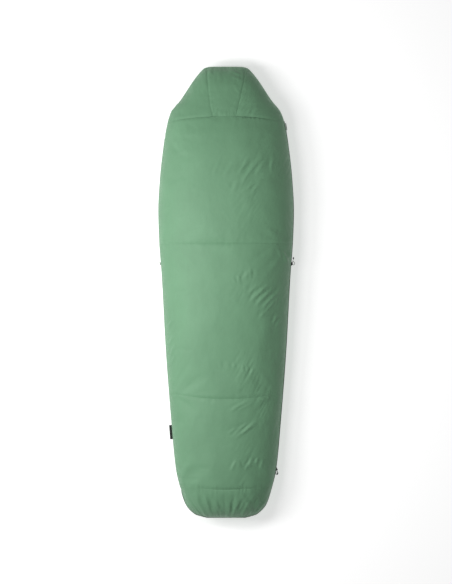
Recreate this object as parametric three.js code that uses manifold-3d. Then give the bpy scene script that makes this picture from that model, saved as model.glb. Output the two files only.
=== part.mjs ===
// A mummy-cut camp quilt with a hood and a closed foot, lying face down on a flat surface.
// Millimetres. +X is to the zip side, +Y to the head and +Z up.
import * as THREE from 'three';
import { mergeVertices } from 'three/addons/utils/BufferGeometryUtils.js';
import Module from 'manifold-3d';

const wasm = await Module();
wasm.setup();

// ---------------------------------------------------------------- driving dimensions
const LENGTH = 2050;
const SEAM_HEIGHT = 80; // height of the side seam and of the zip above the ground
const SEAM_GAP = 0.4; // each half stops this far from the seam plane
const LOWER_BULGE = 85; // depth of the lower half before the ground flattens it
const UPPER_ROUNDNESS = 2.3; // superellipse exponents of the section
const LOWER_ROUNDNESS = 3.2;
const END_ROUNDNESS = 2.5;
const HEAD_ROUNDING = 110; // lengths over which the ends close
const FOOT_ROUNDING = 130;
const END_THICKENING = 2; // the wall's layers are this much deeper along the bag at its tips

const SHELL = [0, 1.2]; // depths below the outside, from and to
const BATT = [2.1, 29];
const LINING = [29.4, 30.4];

const NECK_Y = 790; // seam between the hood and the body
const UPPER_STITCH_Y = 222;
const LOWER_STITCH_Y = -480;
const FOOT_STITCH_Y = -888;
const PANEL_GAP = 0.4;

const ZIP_TOP_Y = 775;
const ZIP_END_Y = -912; // far end of the zip, round the foot on the other side
const TAPE_WIDTH = 9;
const COIL_WIDTH = 2.6;
const COIL_PROUD = 1.3;
const TAPE_DEPTHS = [-1.3, -0.2]; // outward from the outline, from and to
const RECESS_DEPTHS = [-3.4, 12];
const RECESS_CLEARANCE = 0.7; // above and below the tapes
const RECESS_END_GAP = 14; // the recess stops this far short of the zip's far end

const DRAFT_RADIUS = 17;
const DRAFT_CLEARANCE = 8; // between the draft tube and the lining
const DRAFT_ENDS = [740, -780];

const UPPER_SLIDER_Y = 128;
const GUARD_Y = 752;
const GUARD_TURN = 0.19; // follows the outline beside it
const GUARD_SIZE = [2, 32, 34];

const FACE_HALF_WIDTH = 92;
const FACE_TOP_Y = 958;

// Half of the plan width at each distance along the bag, foot to head.
const HALF_WIDTHS = [
  [-1025, 86], [-1020, 107], [-1009, 140], [-966, 181], [-911, 201], [-802, 227],
  [-583, 248], [-256, 273], [72, 291], [235, 303], [372, 307], [508, 300], [672, 282],
  [777, 264], [818, 249], [872, 207], [968, 143], [1009, 111], [1025, 88],
];

// Height of the upper half above the seam plane, before the ends close.
const UPPER_HEIGHTS = [
  [-1025, 96], [-850, 118], [-480, 128], [0, 158], [420, 170],
  [700, 148], [800, 124], [930, 100], [1025, 74],
];

// ---------------------------------------------------------------- materials
const COLOURS = {
  shell: [0x78a27f, 0.62, 0],
  lining: [0x4b5a50, 0.7, 0],
  batt: [0xe9e9e4, 0.95, 0],
  tape: [0x2f4636, 0.85, 0],
  coil: [0x2a3a2f, 0.5, 0],
  metal: [0x26282a, 0.4, 0.6],
  plastic: [0x1b1c1e, 0.5, 0],
  cord: [0xc9cdc6, 0.8, 0],
  tag: [0x17181a, 0.85, 0],
};

const finishes = {};
for (const [name, [color, roughness, metalness]] of Object.entries(COLOURS)) {
  finishes[name] = new THREE.MeshStandardMaterial({ color, roughness, metalness });
}

const quilt = new THREE.Group();
const CORD_NAMES = ['loop_left', 'loop_right', 'loop_lower_right'];

function add(name, geometry, finish) {
  const mesh = new THREE.Mesh(geometry, finishes[finish]);
  mesh.name = name;
  quilt.add(mesh);
  return mesh;
}

// ---------------------------------------------------------------- curves and solids

/** Smooth curve through the points that never overshoots them. */
function smoothThrough(points) {
  const slope = (i) => (points[i + 1][1] - points[i][1]) / (points[i + 1][0] - points[i][0]);
  const tangents = points.map((point, i) => {
    if (i === 0) return slope(0);
    if (i === points.length - 1) return slope(i - 1);
    const before = slope(i - 1);
    const after = slope(i);
    return before * after <= 0 ? 0 : (2 * before * after) / (before + after);
  });
  return (x) => {
    let i = 0;
    while (i < points.length - 2 && x > points[i + 1][0]) i += 1;
    const [x0, y0] = points[i];
    const [x1, y1] = points[i + 1];
    const span = x1 - x0;
    const t = Math.min(Math.max((x - x0) / span, 0), 1);
    const rise = t * t * (3 - 2 * t);
    return y0 + (y1 - y0) * rise
      + span * tangents[i] * t * (1 - t) * (1 - t)
      - span * tangents[i + 1] * t * t * (1 - t);
  };
}

const halfWidth = smoothThrough(HALF_WIDTHS);
const upperHeight = smoothThrough(UPPER_HEIGHTS);

function toManifold(geometry) {
  const bare = geometry.clone();
  bare.deleteAttribute('normal');
  bare.deleteAttribute('uv');
  const merged = mergeVertices(bare, 1e-4);
  return new wasm.Manifold(new wasm.Mesh({
    numProp: 3,
    vertProperties: new Float32Array(merged.attributes.position.array),
    triVerts: new Uint32Array(merged.index.array),
  }));
}

function toGeometry(solid) {
  const mesh = solid.getMesh();
  const geometry = new THREE.BufferGeometry();
  geometry.setAttribute('position', new THREE.BufferAttribute(new Float32Array(mesh.vertProperties), 3));
  geometry.setIndex(new THREE.BufferAttribute(new Uint32Array(mesh.triVerts), 1));
  geometry.computeVertexNormals();
  return geometry;
}

const join = (first, ...others) => toGeometry(
  others.reduce((sum, each) => sum.add(toManifold(each)), toManifold(first)),
);
const cut = (first, ...others) => toGeometry(
  others.reduce((rest, each) => rest.subtract(toManifold(each)), toManifold(first)),
);

/** Closed slab between two grids of points of the same size. */
function slab(outer, inner) {
  const rows = outer.length;
  const columns = outer[0].length;
  const last = columns - 1;
  const positions = [...outer.flat(), ...inner.flat()].flat();
  const at = (layer, i, j) => layer * rows * columns + i * columns + j;
  const triangles = [];
  const quad = (a, b, c, d) => triangles.push(a, b, c, a, c, d);
  for (let i = 0; i < rows - 1; i += 1) {
    for (let j = 0; j < columns - 1; j += 1) {
      quad(at(0, i, j), at(0, i, j + 1), at(0, i + 1, j + 1), at(0, i + 1, j));
      quad(at(1, i, j), at(1, i + 1, j), at(1, i + 1, j + 1), at(1, i, j + 1));
    }
    quad(at(0, i, 0), at(0, i + 1, 0), at(1, i + 1, 0), at(1, i, 0));
    quad(at(0, i + 1, last), at(0, i, last), at(1, i, last), at(1, i + 1, last));
  }
  for (let j = 0; j < columns - 1; j += 1) {
    quad(at(0, 0, j + 1), at(0, 0, j), at(1, 0, j), at(1, 0, j + 1));
    quad(at(0, rows - 1, j), at(0, rows - 1, j + 1), at(1, rows - 1, j + 1), at(1, rows - 1, j));
  }
  let volume = 0;
  const corner = (k) => new THREE.Vector3().fromArray(positions, 3 * triangles[k]);
  for (let k = 0; k < triangles.length; k += 3) {
    volume += corner(k).dot(corner(k + 1).cross(corner(k + 2)));
  }
  if (volume < 0) triangles.reverse();
  const geometry = new THREE.BufferGeometry();
  geometry.setAttribute('position', new THREE.Float32BufferAttribute(positions, 3));
  geometry.setIndex(triangles);
  geometry.computeVertexNormals();
  return geometry;
}

// ---------------------------------------------------------------- the bag's wall

const END_STEPS = 5;

/** Rows across the bag over one closing end, from where it starts to the tip. */
function endRows(sign, rounding) {
  const start = sign * (LENGTH / 2 - rounding);
  return Array.from({ length: END_STEPS + 1 }, (unused, k) => {
    const angle = (k / END_STEPS) * (Math.PI / 2);
    const progress = Math.sin(angle) ** (2 / END_ROUNDNESS);
    const closure = k === END_STEPS ? 0 : Math.cos(angle) ** (2 / END_ROUNDNESS);
    return { y: start + sign * rounding * progress, closure, inset: sign * progress };
  });
}

const straightRow = (y) => ({ y, closure: 1, inset: 0 });

// Stations along the straight stretches, between the stitch lines.
const CHEST_YS = [700, 590, 480, 372];
const HIP_YS = [60, -120, -300];
const LEG_YS = [-610, -750];

/** Rows from one straight station to another, both included, through those between. */
function rowsBetween(from, to, between = []) {
  return [from, ...between.toSorted((a, b) => a - b), to].map(straightRow);
}

/** A point of the wall: upper or lower half, at an angle from the zip side over to the other. */
function wallPoint(isUpper, row, angle, depth) {
  const roundness = isUpper ? UPPER_ROUNDNESS : LOWER_ROUNDNESS;
  const across = Math.sign(Math.cos(angle)) * Math.abs(Math.cos(angle)) ** (2 / roundness);
  const rise = Math.abs(Math.sin(angle)) ** (2 / roundness);
  const x = (halfWidth(row.y) - depth) * (Math.abs(across) < 1e-6 ? 0 : across);
  const y = row.y - row.inset * depth * END_THICKENING;
  if (isUpper) {
    return [x, y, SEAM_HEIGHT + SEAM_GAP + (upperHeight(row.y) - depth - SEAM_GAP) * row.closure * rise];
  }
  const drop = Math.min((LOWER_BULGE - depth) * rise, SEAM_HEIGHT - depth) - SEAM_GAP;
  return [x, y, SEAM_HEIGHT - SEAM_GAP - Math.max(drop, 0) * row.closure];
}

const ANGLE_STEPS = 8;
const fan = (from, to, steps) => Array.from(
  { length: steps + 1 },
  (unused, k) => from + ((to - from) * k) / steps,
);
const FULL_ARCH = fan(0, Math.PI, ANGLE_STEPS);

function wallPiece(isUpper, rows, angles, [outerDepth, innerDepth]) {
  const grid = (depth) => rows.map((row) => angles.map((angle) => wallPoint(isUpper, row, angle, depth)));
  return slab(grid(outerDepth), grid(innerDepth));
}

// ---------------------------------------------------------------- ribbons along the edge

const STITCHES = [UPPER_STITCH_Y, LOWER_STITCH_Y, FOOT_STITCH_Y];
const sideYs = [...CHEST_YS, ...HIP_YS, ...LEG_YS, ...STITCHES].sort((a, b) => b - a);

/** Path of the zip: down the +X side and round the foot to a point low on the other side. */
function zipPath(topY, endY) {
  const corner = endRows(-1, FOOT_ROUNDING).map((row) => row.y);
  const near = [topY, ...sideYs, ...corner].map((y) => [halfWidth(y), y]);
  const far = [...corner.slice(1).reverse(), endY].map((y) => [-halfWidth(y), y]);
  return [...near, ...far];
}

/** Path of the other side seam, which is not opened. */
const plainSeamPath = sideYs.map((y) => [-halfWidth(y), y]);

/** Rectangular ribbon along a plan path, between two outward offsets and two heights. */
function ribbon(path, sign, [inner, outer], [low, high]) {
  const outward = path.map((unused, i) => {
    const a = path[Math.max(i - 1, 0)];
    const b = path[Math.min(i + 1, path.length - 1)];
    const along = new THREE.Vector2(b[0] - a[0], b[1] - a[1]).normalize();
    return [-along.y * sign, along.x * sign];
  });
  const edge = (offset) => path.map(([x, y], i) => [low, high].map(
    (z) => [x + outward[i][0] * offset, y + outward[i][1] * offset, z],
  ));
  return slab(edge(outer), edge(inner));
}

/** Round rod or tube along a smooth curve through points. */
function rod(points, radius, steps, sides = 8, bore = 0) {
  const ring = (r) => Array.from({ length: sides }, (unused, k) => {
    const angle = (2 * Math.PI * k) / sides;
    return new THREE.Vector2(r * Math.cos(angle), r * Math.sin(angle));
  });
  const section = new THREE.Shape(ring(radius));
  if (bore > 0) section.holes.push(new THREE.Path(ring(bore).reverse()));
  const curve = new THREE.CatmullRomCurve3(points.map((point) => new THREE.Vector3(...point)));
  return new THREE.ExtrudeGeometry(section, { steps, extrudePath: curve, bevelEnabled: false });
}

function box([x0, x1], [y0, y1], [z0, z1]) {
  const geometry = new THREE.BoxGeometry(x1 - x0, y1 - y0, z1 - z0);
  return geometry.translate((x0 + x1) / 2, (y0 + y1) / 2, (z0 + z1) / 2);
}

/** Cylinder along Z, centred on x and y. */
function post(radius, [z0, z1], x = 0, y = 0, sides = 16) {
  const geometry = new THREE.CylinderGeometry(radius, radius, z1 - z0, sides).rotateX(Math.PI / 2);
  return geometry.translate(x, y, (z0 + z1) / 2);
}

// ---------------------------------------------------------------- shells, batts and linings

const headEnd = endRows(1, HEAD_ROUNDING);
const footEnd = endRows(-1, FOOT_ROUNDING).reverse();
const half = PANEL_GAP / 2;

const chestRows = rowsBetween(UPPER_STITCH_Y + half, NECK_Y - half, CHEST_YS);
const hipRows = rowsBetween(LOWER_STITCH_Y + half, UPPER_STITCH_Y - half, HIP_YS);
const legRows = rowsBetween(FOOT_STITCH_Y + half, LOWER_STITCH_Y - half, LEG_YS);
const footRows = [...footEnd, straightRow(FOOT_STITCH_Y - half)];
const hoodRows = [...rowsBetween(NECK_Y + half, 872, [818]), ...headEnd];
const chestToFootRows = [...legRows, ...hipRows.slice(1), ...chestRows.slice(1)];
const bodyRows = [...footEnd, ...chestToFootRows];

// The recess that the zip takes out of the shells and of the face of the batts.
const recessReach = COIL_WIDTH + TAPE_WIDTH + RECESS_CLEARANCE;
const zipRecess = ribbon(
  zipPath(ZIP_TOP_Y, ZIP_END_Y + RECESS_END_GAP),
  1,
  RECESS_DEPTHS,
  [SEAM_HEIGHT - recessReach, SEAM_HEIGHT + recessReach],
);

const coverPanels = { chest: chestRows, hips: hipRows, legs: legRows, foot: footRows };
for (const [panel, rows] of Object.entries(coverPanels)) {
  add(`cover_shell_${panel}`, cut(wallPiece(true, rows, FULL_ARCH, SHELL), zipRecess), 'shell');
  add(`cover_batt_${panel}`, cut(wallPiece(true, rows, FULL_ARCH, BATT), zipRecess), 'batt');
}
add('cover_lining', wallPiece(true, bodyRows, FULL_ARCH, LINING), 'lining');

// The hood's three panels meet along two seams that run up from the neck.
const HOOD_SEAM = 0.4 * Math.PI;
const hoodGap = 0.002;
add('hood_shell_right', wallPiece(true, hoodRows, fan(0, HOOD_SEAM - hoodGap, 4), SHELL), 'shell');
add('hood_shell_centre', wallPiece(true, hoodRows, fan(HOOD_SEAM, Math.PI - HOOD_SEAM, 2), SHELL), 'shell');
add(
  'hood_shell_left',
  wallPiece(true, hoodRows, fan(Math.PI - HOOD_SEAM + hoodGap, Math.PI, 4), SHELL),
  'shell',
);
const HOOD_ARCH = [...fan(0, HOOD_SEAM, 4), Math.PI / 2, ...fan(Math.PI - HOOD_SEAM, Math.PI, 4)];
add('hood_batt', wallPiece(true, hoodRows, HOOD_ARCH, BATT), 'batt');
add('hood_lining', wallPiece(true, hoodRows, HOOD_ARCH, LINING), 'lining');

// Underside of the hood, open from the neck up to the brow.
function faceOpening() {
  const outline = new THREE.Shape();
  outline.moveTo(-FACE_HALF_WIDTH, NECK_Y - 10);
  outline.lineTo(FACE_HALF_WIDTH, NECK_Y - 10);
  outline.lineTo(FACE_HALF_WIDTH, FACE_TOP_Y - FACE_HALF_WIDTH);
  outline.absarc(0, FACE_TOP_Y - FACE_HALF_WIDTH, FACE_HALF_WIDTH, 0, Math.PI, false);
  const geometry = new THREE.ExtrudeGeometry(outline, { depth: 80, curveSegments: 8, bevelEnabled: false });
  return geometry.translate(0, 0, -5);
}
const faceCut = faceOpening();
const underHoodRows = [straightRow(NECK_Y + 6), ...hoodRows.slice(1)];
const underHood = (depths) => cut(wallPiece(false, underHoodRows, FULL_ARCH, depths), faceCut);
add('hood_shell_under', underHood(SHELL), 'shell');
add('hood_batt_under', underHood(BATT), 'batt');
add('hood_lining_under', underHood(LINING), 'lining');

// The front of the bag, which lies on the ground.
add('base_shell_body', cut(wallPiece(false, chestToFootRows, FULL_ARCH, SHELL), zipRecess), 'shell');
add('base_shell_foot', cut(wallPiece(false, footRows, FULL_ARCH, SHELL), zipRecess), 'shell');
add('base_batt_upper', cut(wallPiece(false, chestRows, FULL_ARCH, BATT), zipRecess), 'batt');
add('base_batt_middle', cut(wallPiece(false, hipRows, FULL_ARCH, BATT), zipRecess), 'batt');
add('base_batt_lower', cut(wallPiece(false, legRows, FULL_ARCH, BATT), zipRecess), 'batt');
add('base_batt_foot', cut(wallPiece(false, footRows, FULL_ARCH, BATT), zipRecess), 'batt');
add('base_lining', wallPiece(false, bodyRows, FULL_ARCH, LINING), 'lining');
const hemRows = rowsBetween(NECK_Y + 0.3, NECK_Y + 4.3);
add('neck_hem', wallPiece(false, hemRows, FULL_ARCH, [0, LINING[1]]), 'shell');

// ---------------------------------------------------------------- zip

const coilBand = [SEAM_HEIGHT + 0.2, SEAM_HEIGHT + COIL_WIDTH];
const tapeBand = [SEAM_HEIGHT + COIL_WIDTH + 0.3, SEAM_HEIGHT + COIL_WIDTH + TAPE_WIDTH];
const mirrored = ([low, high]) => [2 * SEAM_HEIGHT - high, 2 * SEAM_HEIGHT - low];
const wholeZip = zipPath(ZIP_TOP_Y - 4, ZIP_END_Y);
add('cover_zip_tape', ribbon(wholeZip, 1, TAPE_DEPTHS, tapeBand), 'tape');
add('base_zip_tape', ribbon(wholeZip, 1, TAPE_DEPTHS, mirrored(tapeBand)), 'tape');
add('cover_zip_coil', ribbon(wholeZip, 1, [-1, COIL_PROUD], coilBand), 'coil');
add('base_zip_coil', ribbon(wholeZip, 1, [-1, COIL_PROUD], mirrored(coilBand)), 'coil');

// The draft tube is sewn inside the front along the zip.
const draftInset = LINING[1] + DRAFT_CLEARANCE + DRAFT_RADIUS;
const draftYs = [DRAFT_ENDS[0], ...sideYs.slice(0, -1), DRAFT_ENDS[1]];
const draftPath = draftYs.map((y) => [halfWidth(y) - draftInset, y, SEAM_HEIGHT]);
add('draft_tube', rod(draftPath, DRAFT_RADIUS, 14, 8), 'lining');

// The pin and box at the zip's far end, and the stop at its top.
const END_BOX_LENGTH = 8;
const endBox = add('zip_end_box', box([-COIL_PROUD, 1.2], [0, END_BOX_LENGTH], [-3, -0.5]), 'plastic');
endBox.position.set(-halfWidth(ZIP_END_Y + 1), ZIP_END_Y + 1, SEAM_HEIGHT);
endBox.rotation.z = Math.atan2(
  halfWidth(ZIP_END_Y + END_BOX_LENGTH) - halfWidth(ZIP_END_Y),
  END_BOX_LENGTH,
);
const topStop = add('zip_top_stop', box([0.3, 2.6], [-2, 2], [-3.6, -0.5]), 'metal');
topStop.position.set(halfWidth(ZIP_TOP_Y), ZIP_TOP_Y, SEAM_HEIGHT);

// ---------------------------------------------------------------- sliders

const PLATE_OFFSET = 3.6;
const PIVOT_OFFSET = 7.4;
const PIN_RADIUS = 0.8;
const SLIDER_LENGTH = 15;

/** Slider plate and flanges with the ear and pin that carry the pull, centred on the zip. */
function sliderBody() {
  const plate = box([PLATE_OFFSET, PLATE_OFFSET + 1.6], [-SLIDER_LENGTH / 2, SLIDER_LENGTH / 2], [-7, 7]);
  const flange = (side) => box(
    [PLATE_OFFSET - 1.1, PLATE_OFFSET + 0.2],
    [-SLIDER_LENGTH / 2, SLIDER_LENGTH / 2],
    side > 0 ? [5.6, 7] : [-7, -5.6],
  );
  const ear = box([PLATE_OFFSET + 1.4, PIVOT_OFFSET + 1.4], [-2, 2], [-2, 2]);
  const pin = post(PIN_RADIUS, [-4.4, 4.4], PIVOT_OFFSET, 0, 12);
  return join(plate, flange(1), flange(-1), ear, pin);
}

/** Pull with two eyes round the pin, lying along +Y from its pivot. */
function sliderPull(length) {
  const eye = (side) => post(2, side > 0 ? [2.4, 4] : [-4, -2.4]);
  const arm = (side) => box([-0.8, 0.8], [1, 7], side > 0 ? [2.4, 4] : [-4, -2.4]);
  const tab = box([-0.8, 0.8], [5, length], [-4, 4]);
  const solid = join(eye(1), eye(-1), arm(1), arm(-1), tab);
  return cut(solid, post(PIN_RADIUS + 0.35, [-5, 5], 0, 0, 12));
}

function placeSlider(prefix, y, pullLength, pullTurn) {
  const step = 20;
  const lean = Math.atan2(halfWidth(y + step) - halfWidth(y - step), 2 * step);
  const place = new THREE.Group();
  place.position.set(halfWidth(y), y, SEAM_HEIGHT);
  place.rotation.z = -lean;
  quilt.add(place);
  place.add(add(`${prefix}_slider_body`, sliderBody(), 'metal'));
  const pull = add(`${prefix}_slider_pull`, sliderPull(pullLength), 'plastic');
  pull.position.set(PIVOT_OFFSET, 0, 0);
  pull.rotation.z = pullTurn;
  place.add(pull);
}
placeSlider('upper', UPPER_SLIDER_Y, 27, -0.07);
placeSlider('lower', -806, 20, Math.PI + 0.12);

// ---------------------------------------------------------------- loops, tag and edge binding

const bindingBand = [SEAM_HEIGHT - 6.5, SEAM_HEIGHT - 0.6];
add('side_binding', ribbon(plainSeamPath, -1, [0.3, COIL_PROUD], bindingBand), 'shell');

// Shape of a loop as shares of its reach and its width.
const LOOP_SHAPE = [[0, -0.2], [0.3, -0.42], [0.7, -0.5], [1, 0], [0.7, 0.5], [0.3, 0.42], [0, 0.2]];
const LOOP_ROOT = 2.9; // where it leaves the side, outward from the outline
const LOOP_DROOP = 7;
const LOOP_CORD_RADIUS = 1.25;

/** Sewn cord loop that stands out from the edge at (x, y) and droops a little. */
function edgeLoop(name, x, y, side, z, reach, width) {
  const points = LOOP_SHAPE.map(([out, along]) => [
    x + side * (LOOP_ROOT + out * (reach - LOOP_ROOT)),
    y + along * width,
    z - LOOP_DROOP * out * out,
  ]);
  add(name, rod(points, LOOP_CORD_RADIUS, 20, 6), 'cord');
}
edgeLoop('loop_left', -halfWidth(129), 129, -1, SEAM_HEIGHT - 4, 18, 15);
edgeLoop('loop_right', halfWidth(131), 131, 1, SEAM_HEIGHT - 17, 18, 15);
edgeLoop('loop_lower_right', halfWidth(-826), -826, 1, SEAM_HEIGHT - 17, 15, 13);

const TAG_TOP_Y = -605;
const TAG_LENGTH = 65;
const tagLean = Math.atan2(halfWidth(TAG_TOP_Y) - halfWidth(TAG_TOP_Y - TAG_LENGTH), TAG_LENGTH);
const tag = add('side_tag', box([-13, -1.8], [-TAG_LENGTH, 0], [-0.6, 0.6]), 'tag');
tag.position.set(-halfWidth(TAG_TOP_Y), TAG_TOP_Y, SEAM_HEIGHT - 4);
tag.rotation.z = tagLean;

// Hook-and-loop tab that folds over the top of the zip.
const [guardThickness, guardLength, guardHeight] = GUARD_SIZE;
const guardBox = box([0, guardThickness], [-guardLength / 2, guardLength / 2], [0, guardHeight]);
const guard = add('zip_guard_tab', guardBox, 'shell');
guard.position.set(halfWidth(GUARD_Y) + 4, GUARD_Y, SEAM_HEIGHT - guardHeight / 2);
guard.rotation.z = GUARD_TURN;

// ---------------------------------------------------------------- hood edge, drawcord and cord lock

const TUNNEL_RADIUS = 6.5;
const TUNNEL_Z = 8;
const tunnelX = FACE_HALF_WIDTH - TUNNEL_RADIUS - 0.6;
const browY = FACE_TOP_Y - FACE_HALF_WIDTH;
const CORD_END_Y = 808;
const DRAWCORD_RADIUS = 1.5;
const TUNNEL_BORE = 3.4;

/** Route of the hood edge from one cheek over the brow to the other. */
function hoodEdge(leftY, rightY) {
  const brow = [165, 140, 115, 90, 65, 40, 15].map((degrees) => {
    const angle = (degrees * Math.PI) / 180;
    return [tunnelX * Math.cos(angle), browY + tunnelX * Math.sin(angle), TUNNEL_Z];
  });
  const cheek = (side, endY) => [endY, (endY + browY) / 2, browY].map((y) => [side * tunnelX, y, TUNNEL_Z]);
  return [...cheek(-1, leftY), ...brow, ...cheek(1, rightY).reverse()];
}
add('hood_edge_tunnel', rod(hoodEdge(800, 846), TUNNEL_RADIUS, 18, 8, TUNNEL_BORE), 'shell');
add('hood_drawcord', rod(hoodEdge(802, CORD_END_Y), DRAWCORD_RADIUS, 26, 6), 'cord');

const LOCK_Y = 828;
const CASE_RADIUS = 6.6;
const CASE_BORE = 5.1;
const CASE_HEIGHTS = [1.2, 15.5];
const CASE_FLOOR = 2.6;
const BUTTON_RADIUS = 4.8;
const BUTTON_HEIGHTS = [5.2, 19.5];
const SPRING_FOOT = 2.9;
const SPRING_HEAD = 4.9;
const SPRING_RADIUS = 3.2;
const SPRING_WIRE = 0.3;
const cordHole = post(2.3, [-12, 12], 0, 0, 10).rotateX(Math.PI / 2).translate(tunnelX, LOCK_Y, TUNNEL_Z);
const lockCase = cut(
  post(CASE_RADIUS, CASE_HEIGHTS, tunnelX, LOCK_Y, 20),
  post(CASE_BORE, [CASE_FLOOR, CASE_HEIGHTS[1] + 1], tunnelX, LOCK_Y, 20),
  cordHole,
);
add('cord_lock_case', lockCase, 'plastic');
const lockButton = cut(
  post(BUTTON_RADIUS, BUTTON_HEIGHTS, tunnelX, LOCK_Y, 20),
  box([tunnelX - 2.2, tunnelX + 2.2], [LOCK_Y - 8, LOCK_Y + 8], [6.2, 12.8]),
);
add('cord_lock_button', lockButton, 'plastic');

function springCoil() {
  const turns = 2;
  const stepsPerTurn = 8;
  const steps = turns * stepsPerTurn;
  const points = Array.from({ length: steps + 1 }, (unused, k) => {
    const angle = (2 * Math.PI * k) / stepsPerTurn;
    const rise = (SPRING_HEAD - SPRING_FOOT - 2 * SPRING_WIRE) * (k / steps);
    return [
      tunnelX + SPRING_RADIUS * Math.cos(angle),
      LOCK_Y + SPRING_RADIUS * Math.sin(angle),
      SPRING_FOOT + SPRING_WIRE + rise,
    ];
  });
  return rod(points, SPRING_WIRE, steps, 5);
}
add('cord_lock_spring', springCoil(), 'metal');

// ---------------------------------------------------------------- origin

// The origin is under the middle of the quilt, on the ground, with the free loops left out.
quilt.updateMatrixWorld(true);
const extent = new THREE.Box3();
quilt.traverse((object) => {
  if (!object.isMesh || CORD_NAMES.includes(object.name)) return;
  extent.union(new THREE.Box3().setFromObject(object, true));
});
const middle = extent.getCenter(new THREE.Vector3());
quilt.position.set(-middle.x, -middle.y, -extent.min.z);

export default quilt;
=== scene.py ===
"""Looks of the camp quilt: a hooded mummy quilt in woven green fabric, lying face down.

Metres, in the CAD frame: +X to the zip side, +Y to the hood, +Z up.
"""
import math

import bpy
import numpy as np
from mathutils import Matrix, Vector, noise


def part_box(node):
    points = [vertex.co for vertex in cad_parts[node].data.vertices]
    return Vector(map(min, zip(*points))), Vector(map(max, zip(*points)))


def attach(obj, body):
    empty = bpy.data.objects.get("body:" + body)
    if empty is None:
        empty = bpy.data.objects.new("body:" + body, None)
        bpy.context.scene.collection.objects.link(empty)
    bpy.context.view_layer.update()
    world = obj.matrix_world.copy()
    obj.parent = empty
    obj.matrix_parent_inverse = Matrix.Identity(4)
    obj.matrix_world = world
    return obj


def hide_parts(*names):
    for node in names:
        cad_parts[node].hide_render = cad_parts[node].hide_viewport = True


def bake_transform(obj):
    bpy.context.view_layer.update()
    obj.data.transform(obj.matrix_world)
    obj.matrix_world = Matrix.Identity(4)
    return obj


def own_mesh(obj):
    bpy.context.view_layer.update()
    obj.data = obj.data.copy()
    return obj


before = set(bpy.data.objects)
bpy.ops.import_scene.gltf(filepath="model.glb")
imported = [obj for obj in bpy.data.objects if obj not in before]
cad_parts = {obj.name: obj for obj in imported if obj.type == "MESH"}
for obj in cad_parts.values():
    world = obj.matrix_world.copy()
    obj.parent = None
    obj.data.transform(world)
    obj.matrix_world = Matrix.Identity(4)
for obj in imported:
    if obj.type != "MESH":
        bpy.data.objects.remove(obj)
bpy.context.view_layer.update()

# ---------------------------------------------------------------- driving sizes
HALF_LENGTH = 1.025
SEAM_Z = 0.080
SEAM_GAP = 0.0004
MIDDLE_X = sum(corner.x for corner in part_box("cover_lining")) / 2
MIDDLE_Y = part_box("hood_shell_centre")[1].y - HALF_LENGTH
FOOT_STITCH_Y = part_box("cover_shell_foot")[1].y - MIDDLE_Y
LOWER_STITCH_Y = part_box("cover_shell_legs")[1].y - MIDDLE_Y
UPPER_STITCH_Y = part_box("cover_shell_hips")[1].y - MIDDLE_Y
NECK_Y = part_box("cover_shell_chest")[1].y - MIDDLE_Y
NECK_SLIT = 0.006  # between the front's neck edge and the underside of the hood
UNDER_HOOD_Y = NECK_Y + NECK_SLIT
LINING_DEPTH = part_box("base_lining")[0].z
BATT_DEPTHS = (0.010, 0.025)
BATT_GAP = 0.003  # from the filling to the plane of the seams
ZIP_TOP_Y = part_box("base_zip_tape")[1].y - MIDDLE_Y
ZIP_END_Y = -0.912
FACE_HALF_WIDTH = 0.092
FACE_TOP_Y = 0.958
BROW_Y = FACE_TOP_Y - FACE_HALF_WIDTH  # where the face opening starts to round off

HEAD_ROUNDING = 0.110
FOOT_ROUNDING = 0.130
END_THICKENING = 2.0
UPPER_ROUNDNESS = 2.3
LOWER_ROUNDNESS = 3.2
END_ROUNDNESS = 2.5
LOWER_BULGE = 0.085

# Half of the plan width at each distance along the bag, foot to head.
HALF_WIDTHS = [
    (-1.025, 0.086), (-1.020, 0.107), (-1.009, 0.140), (-0.966, 0.181), (-0.911, 0.201),
    (-0.802, 0.227), (-0.583, 0.248), (-0.256, 0.273), (0.072, 0.291), (0.235, 0.303),
    (0.372, 0.307), (0.508, 0.300), (0.672, 0.282), (0.777, 0.264), (0.818, 0.249),
    (0.872, 0.207), (0.968, 0.143), (1.003, 0.1145), (1.018, 0.098), (1.025, 0.074),
]

# Height of the upper half above the seam plane, before the ends close.
UPPER_HEIGHTS = [
    (-1.025, 0.096), (-0.850, 0.118), (-0.480, 0.128), (0.000, 0.158), (0.420, 0.170),
    (0.700, 0.148), (0.800, 0.124), (0.930, 0.100), (1.025, 0.074),
]

# How far each stitch line bows along the bag at the side seams, against its middle.
STITCH_BOWS = [
    (-1.025, 0.0), (-0.888, 0.014), (-0.480, 0.026), (0.222, -0.004), (0.790, -0.020), (1.025, 0.0),
]

# The hood's two seams, neck to crown: distance along the bag, and across from its middle.
LEFT_HOOD_SEAM = [(0.780, -0.056), (0.857, -0.073), (0.928, -0.081), (1.025, -0.090)]
RIGHT_HOOD_SEAM = [(0.780, 0.042), (0.878, 0.066), (0.958, 0.081), (1.025, 0.086)]


def smooth_through(points):
    """A smooth curve through the points that never overshoots them, as a function of an array."""
    xs, ys = (np.array(column) for column in zip(*points))
    slopes = np.diff(ys) / np.diff(xs)
    same_way = slopes[:-1] * slopes[1:] > 0
    sums = np.where(same_way, slopes[:-1] + slopes[1:], 1.0)
    inner = np.where(same_way, 2 * slopes[:-1] * slopes[1:] / sums, 0)
    tangents = np.concatenate([slopes[:1], inner, slopes[-1:]])

    def curve(x):
        x = np.asarray(x, float)
        i = np.clip(np.searchsorted(xs, x) - 1, 0, len(xs) - 2)
        span = xs[i + 1] - xs[i]
        t = np.clip((x - xs[i]) / span, 0, 1)
        rise = t * t * (3 - 2 * t)
        lead = tangents[i] * t * (1 - t) ** 2 - tangents[i + 1] * t * t * (1 - t)
        return ys[i] + (ys[i + 1] - ys[i]) * rise + span * lead

    return curve


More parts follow.
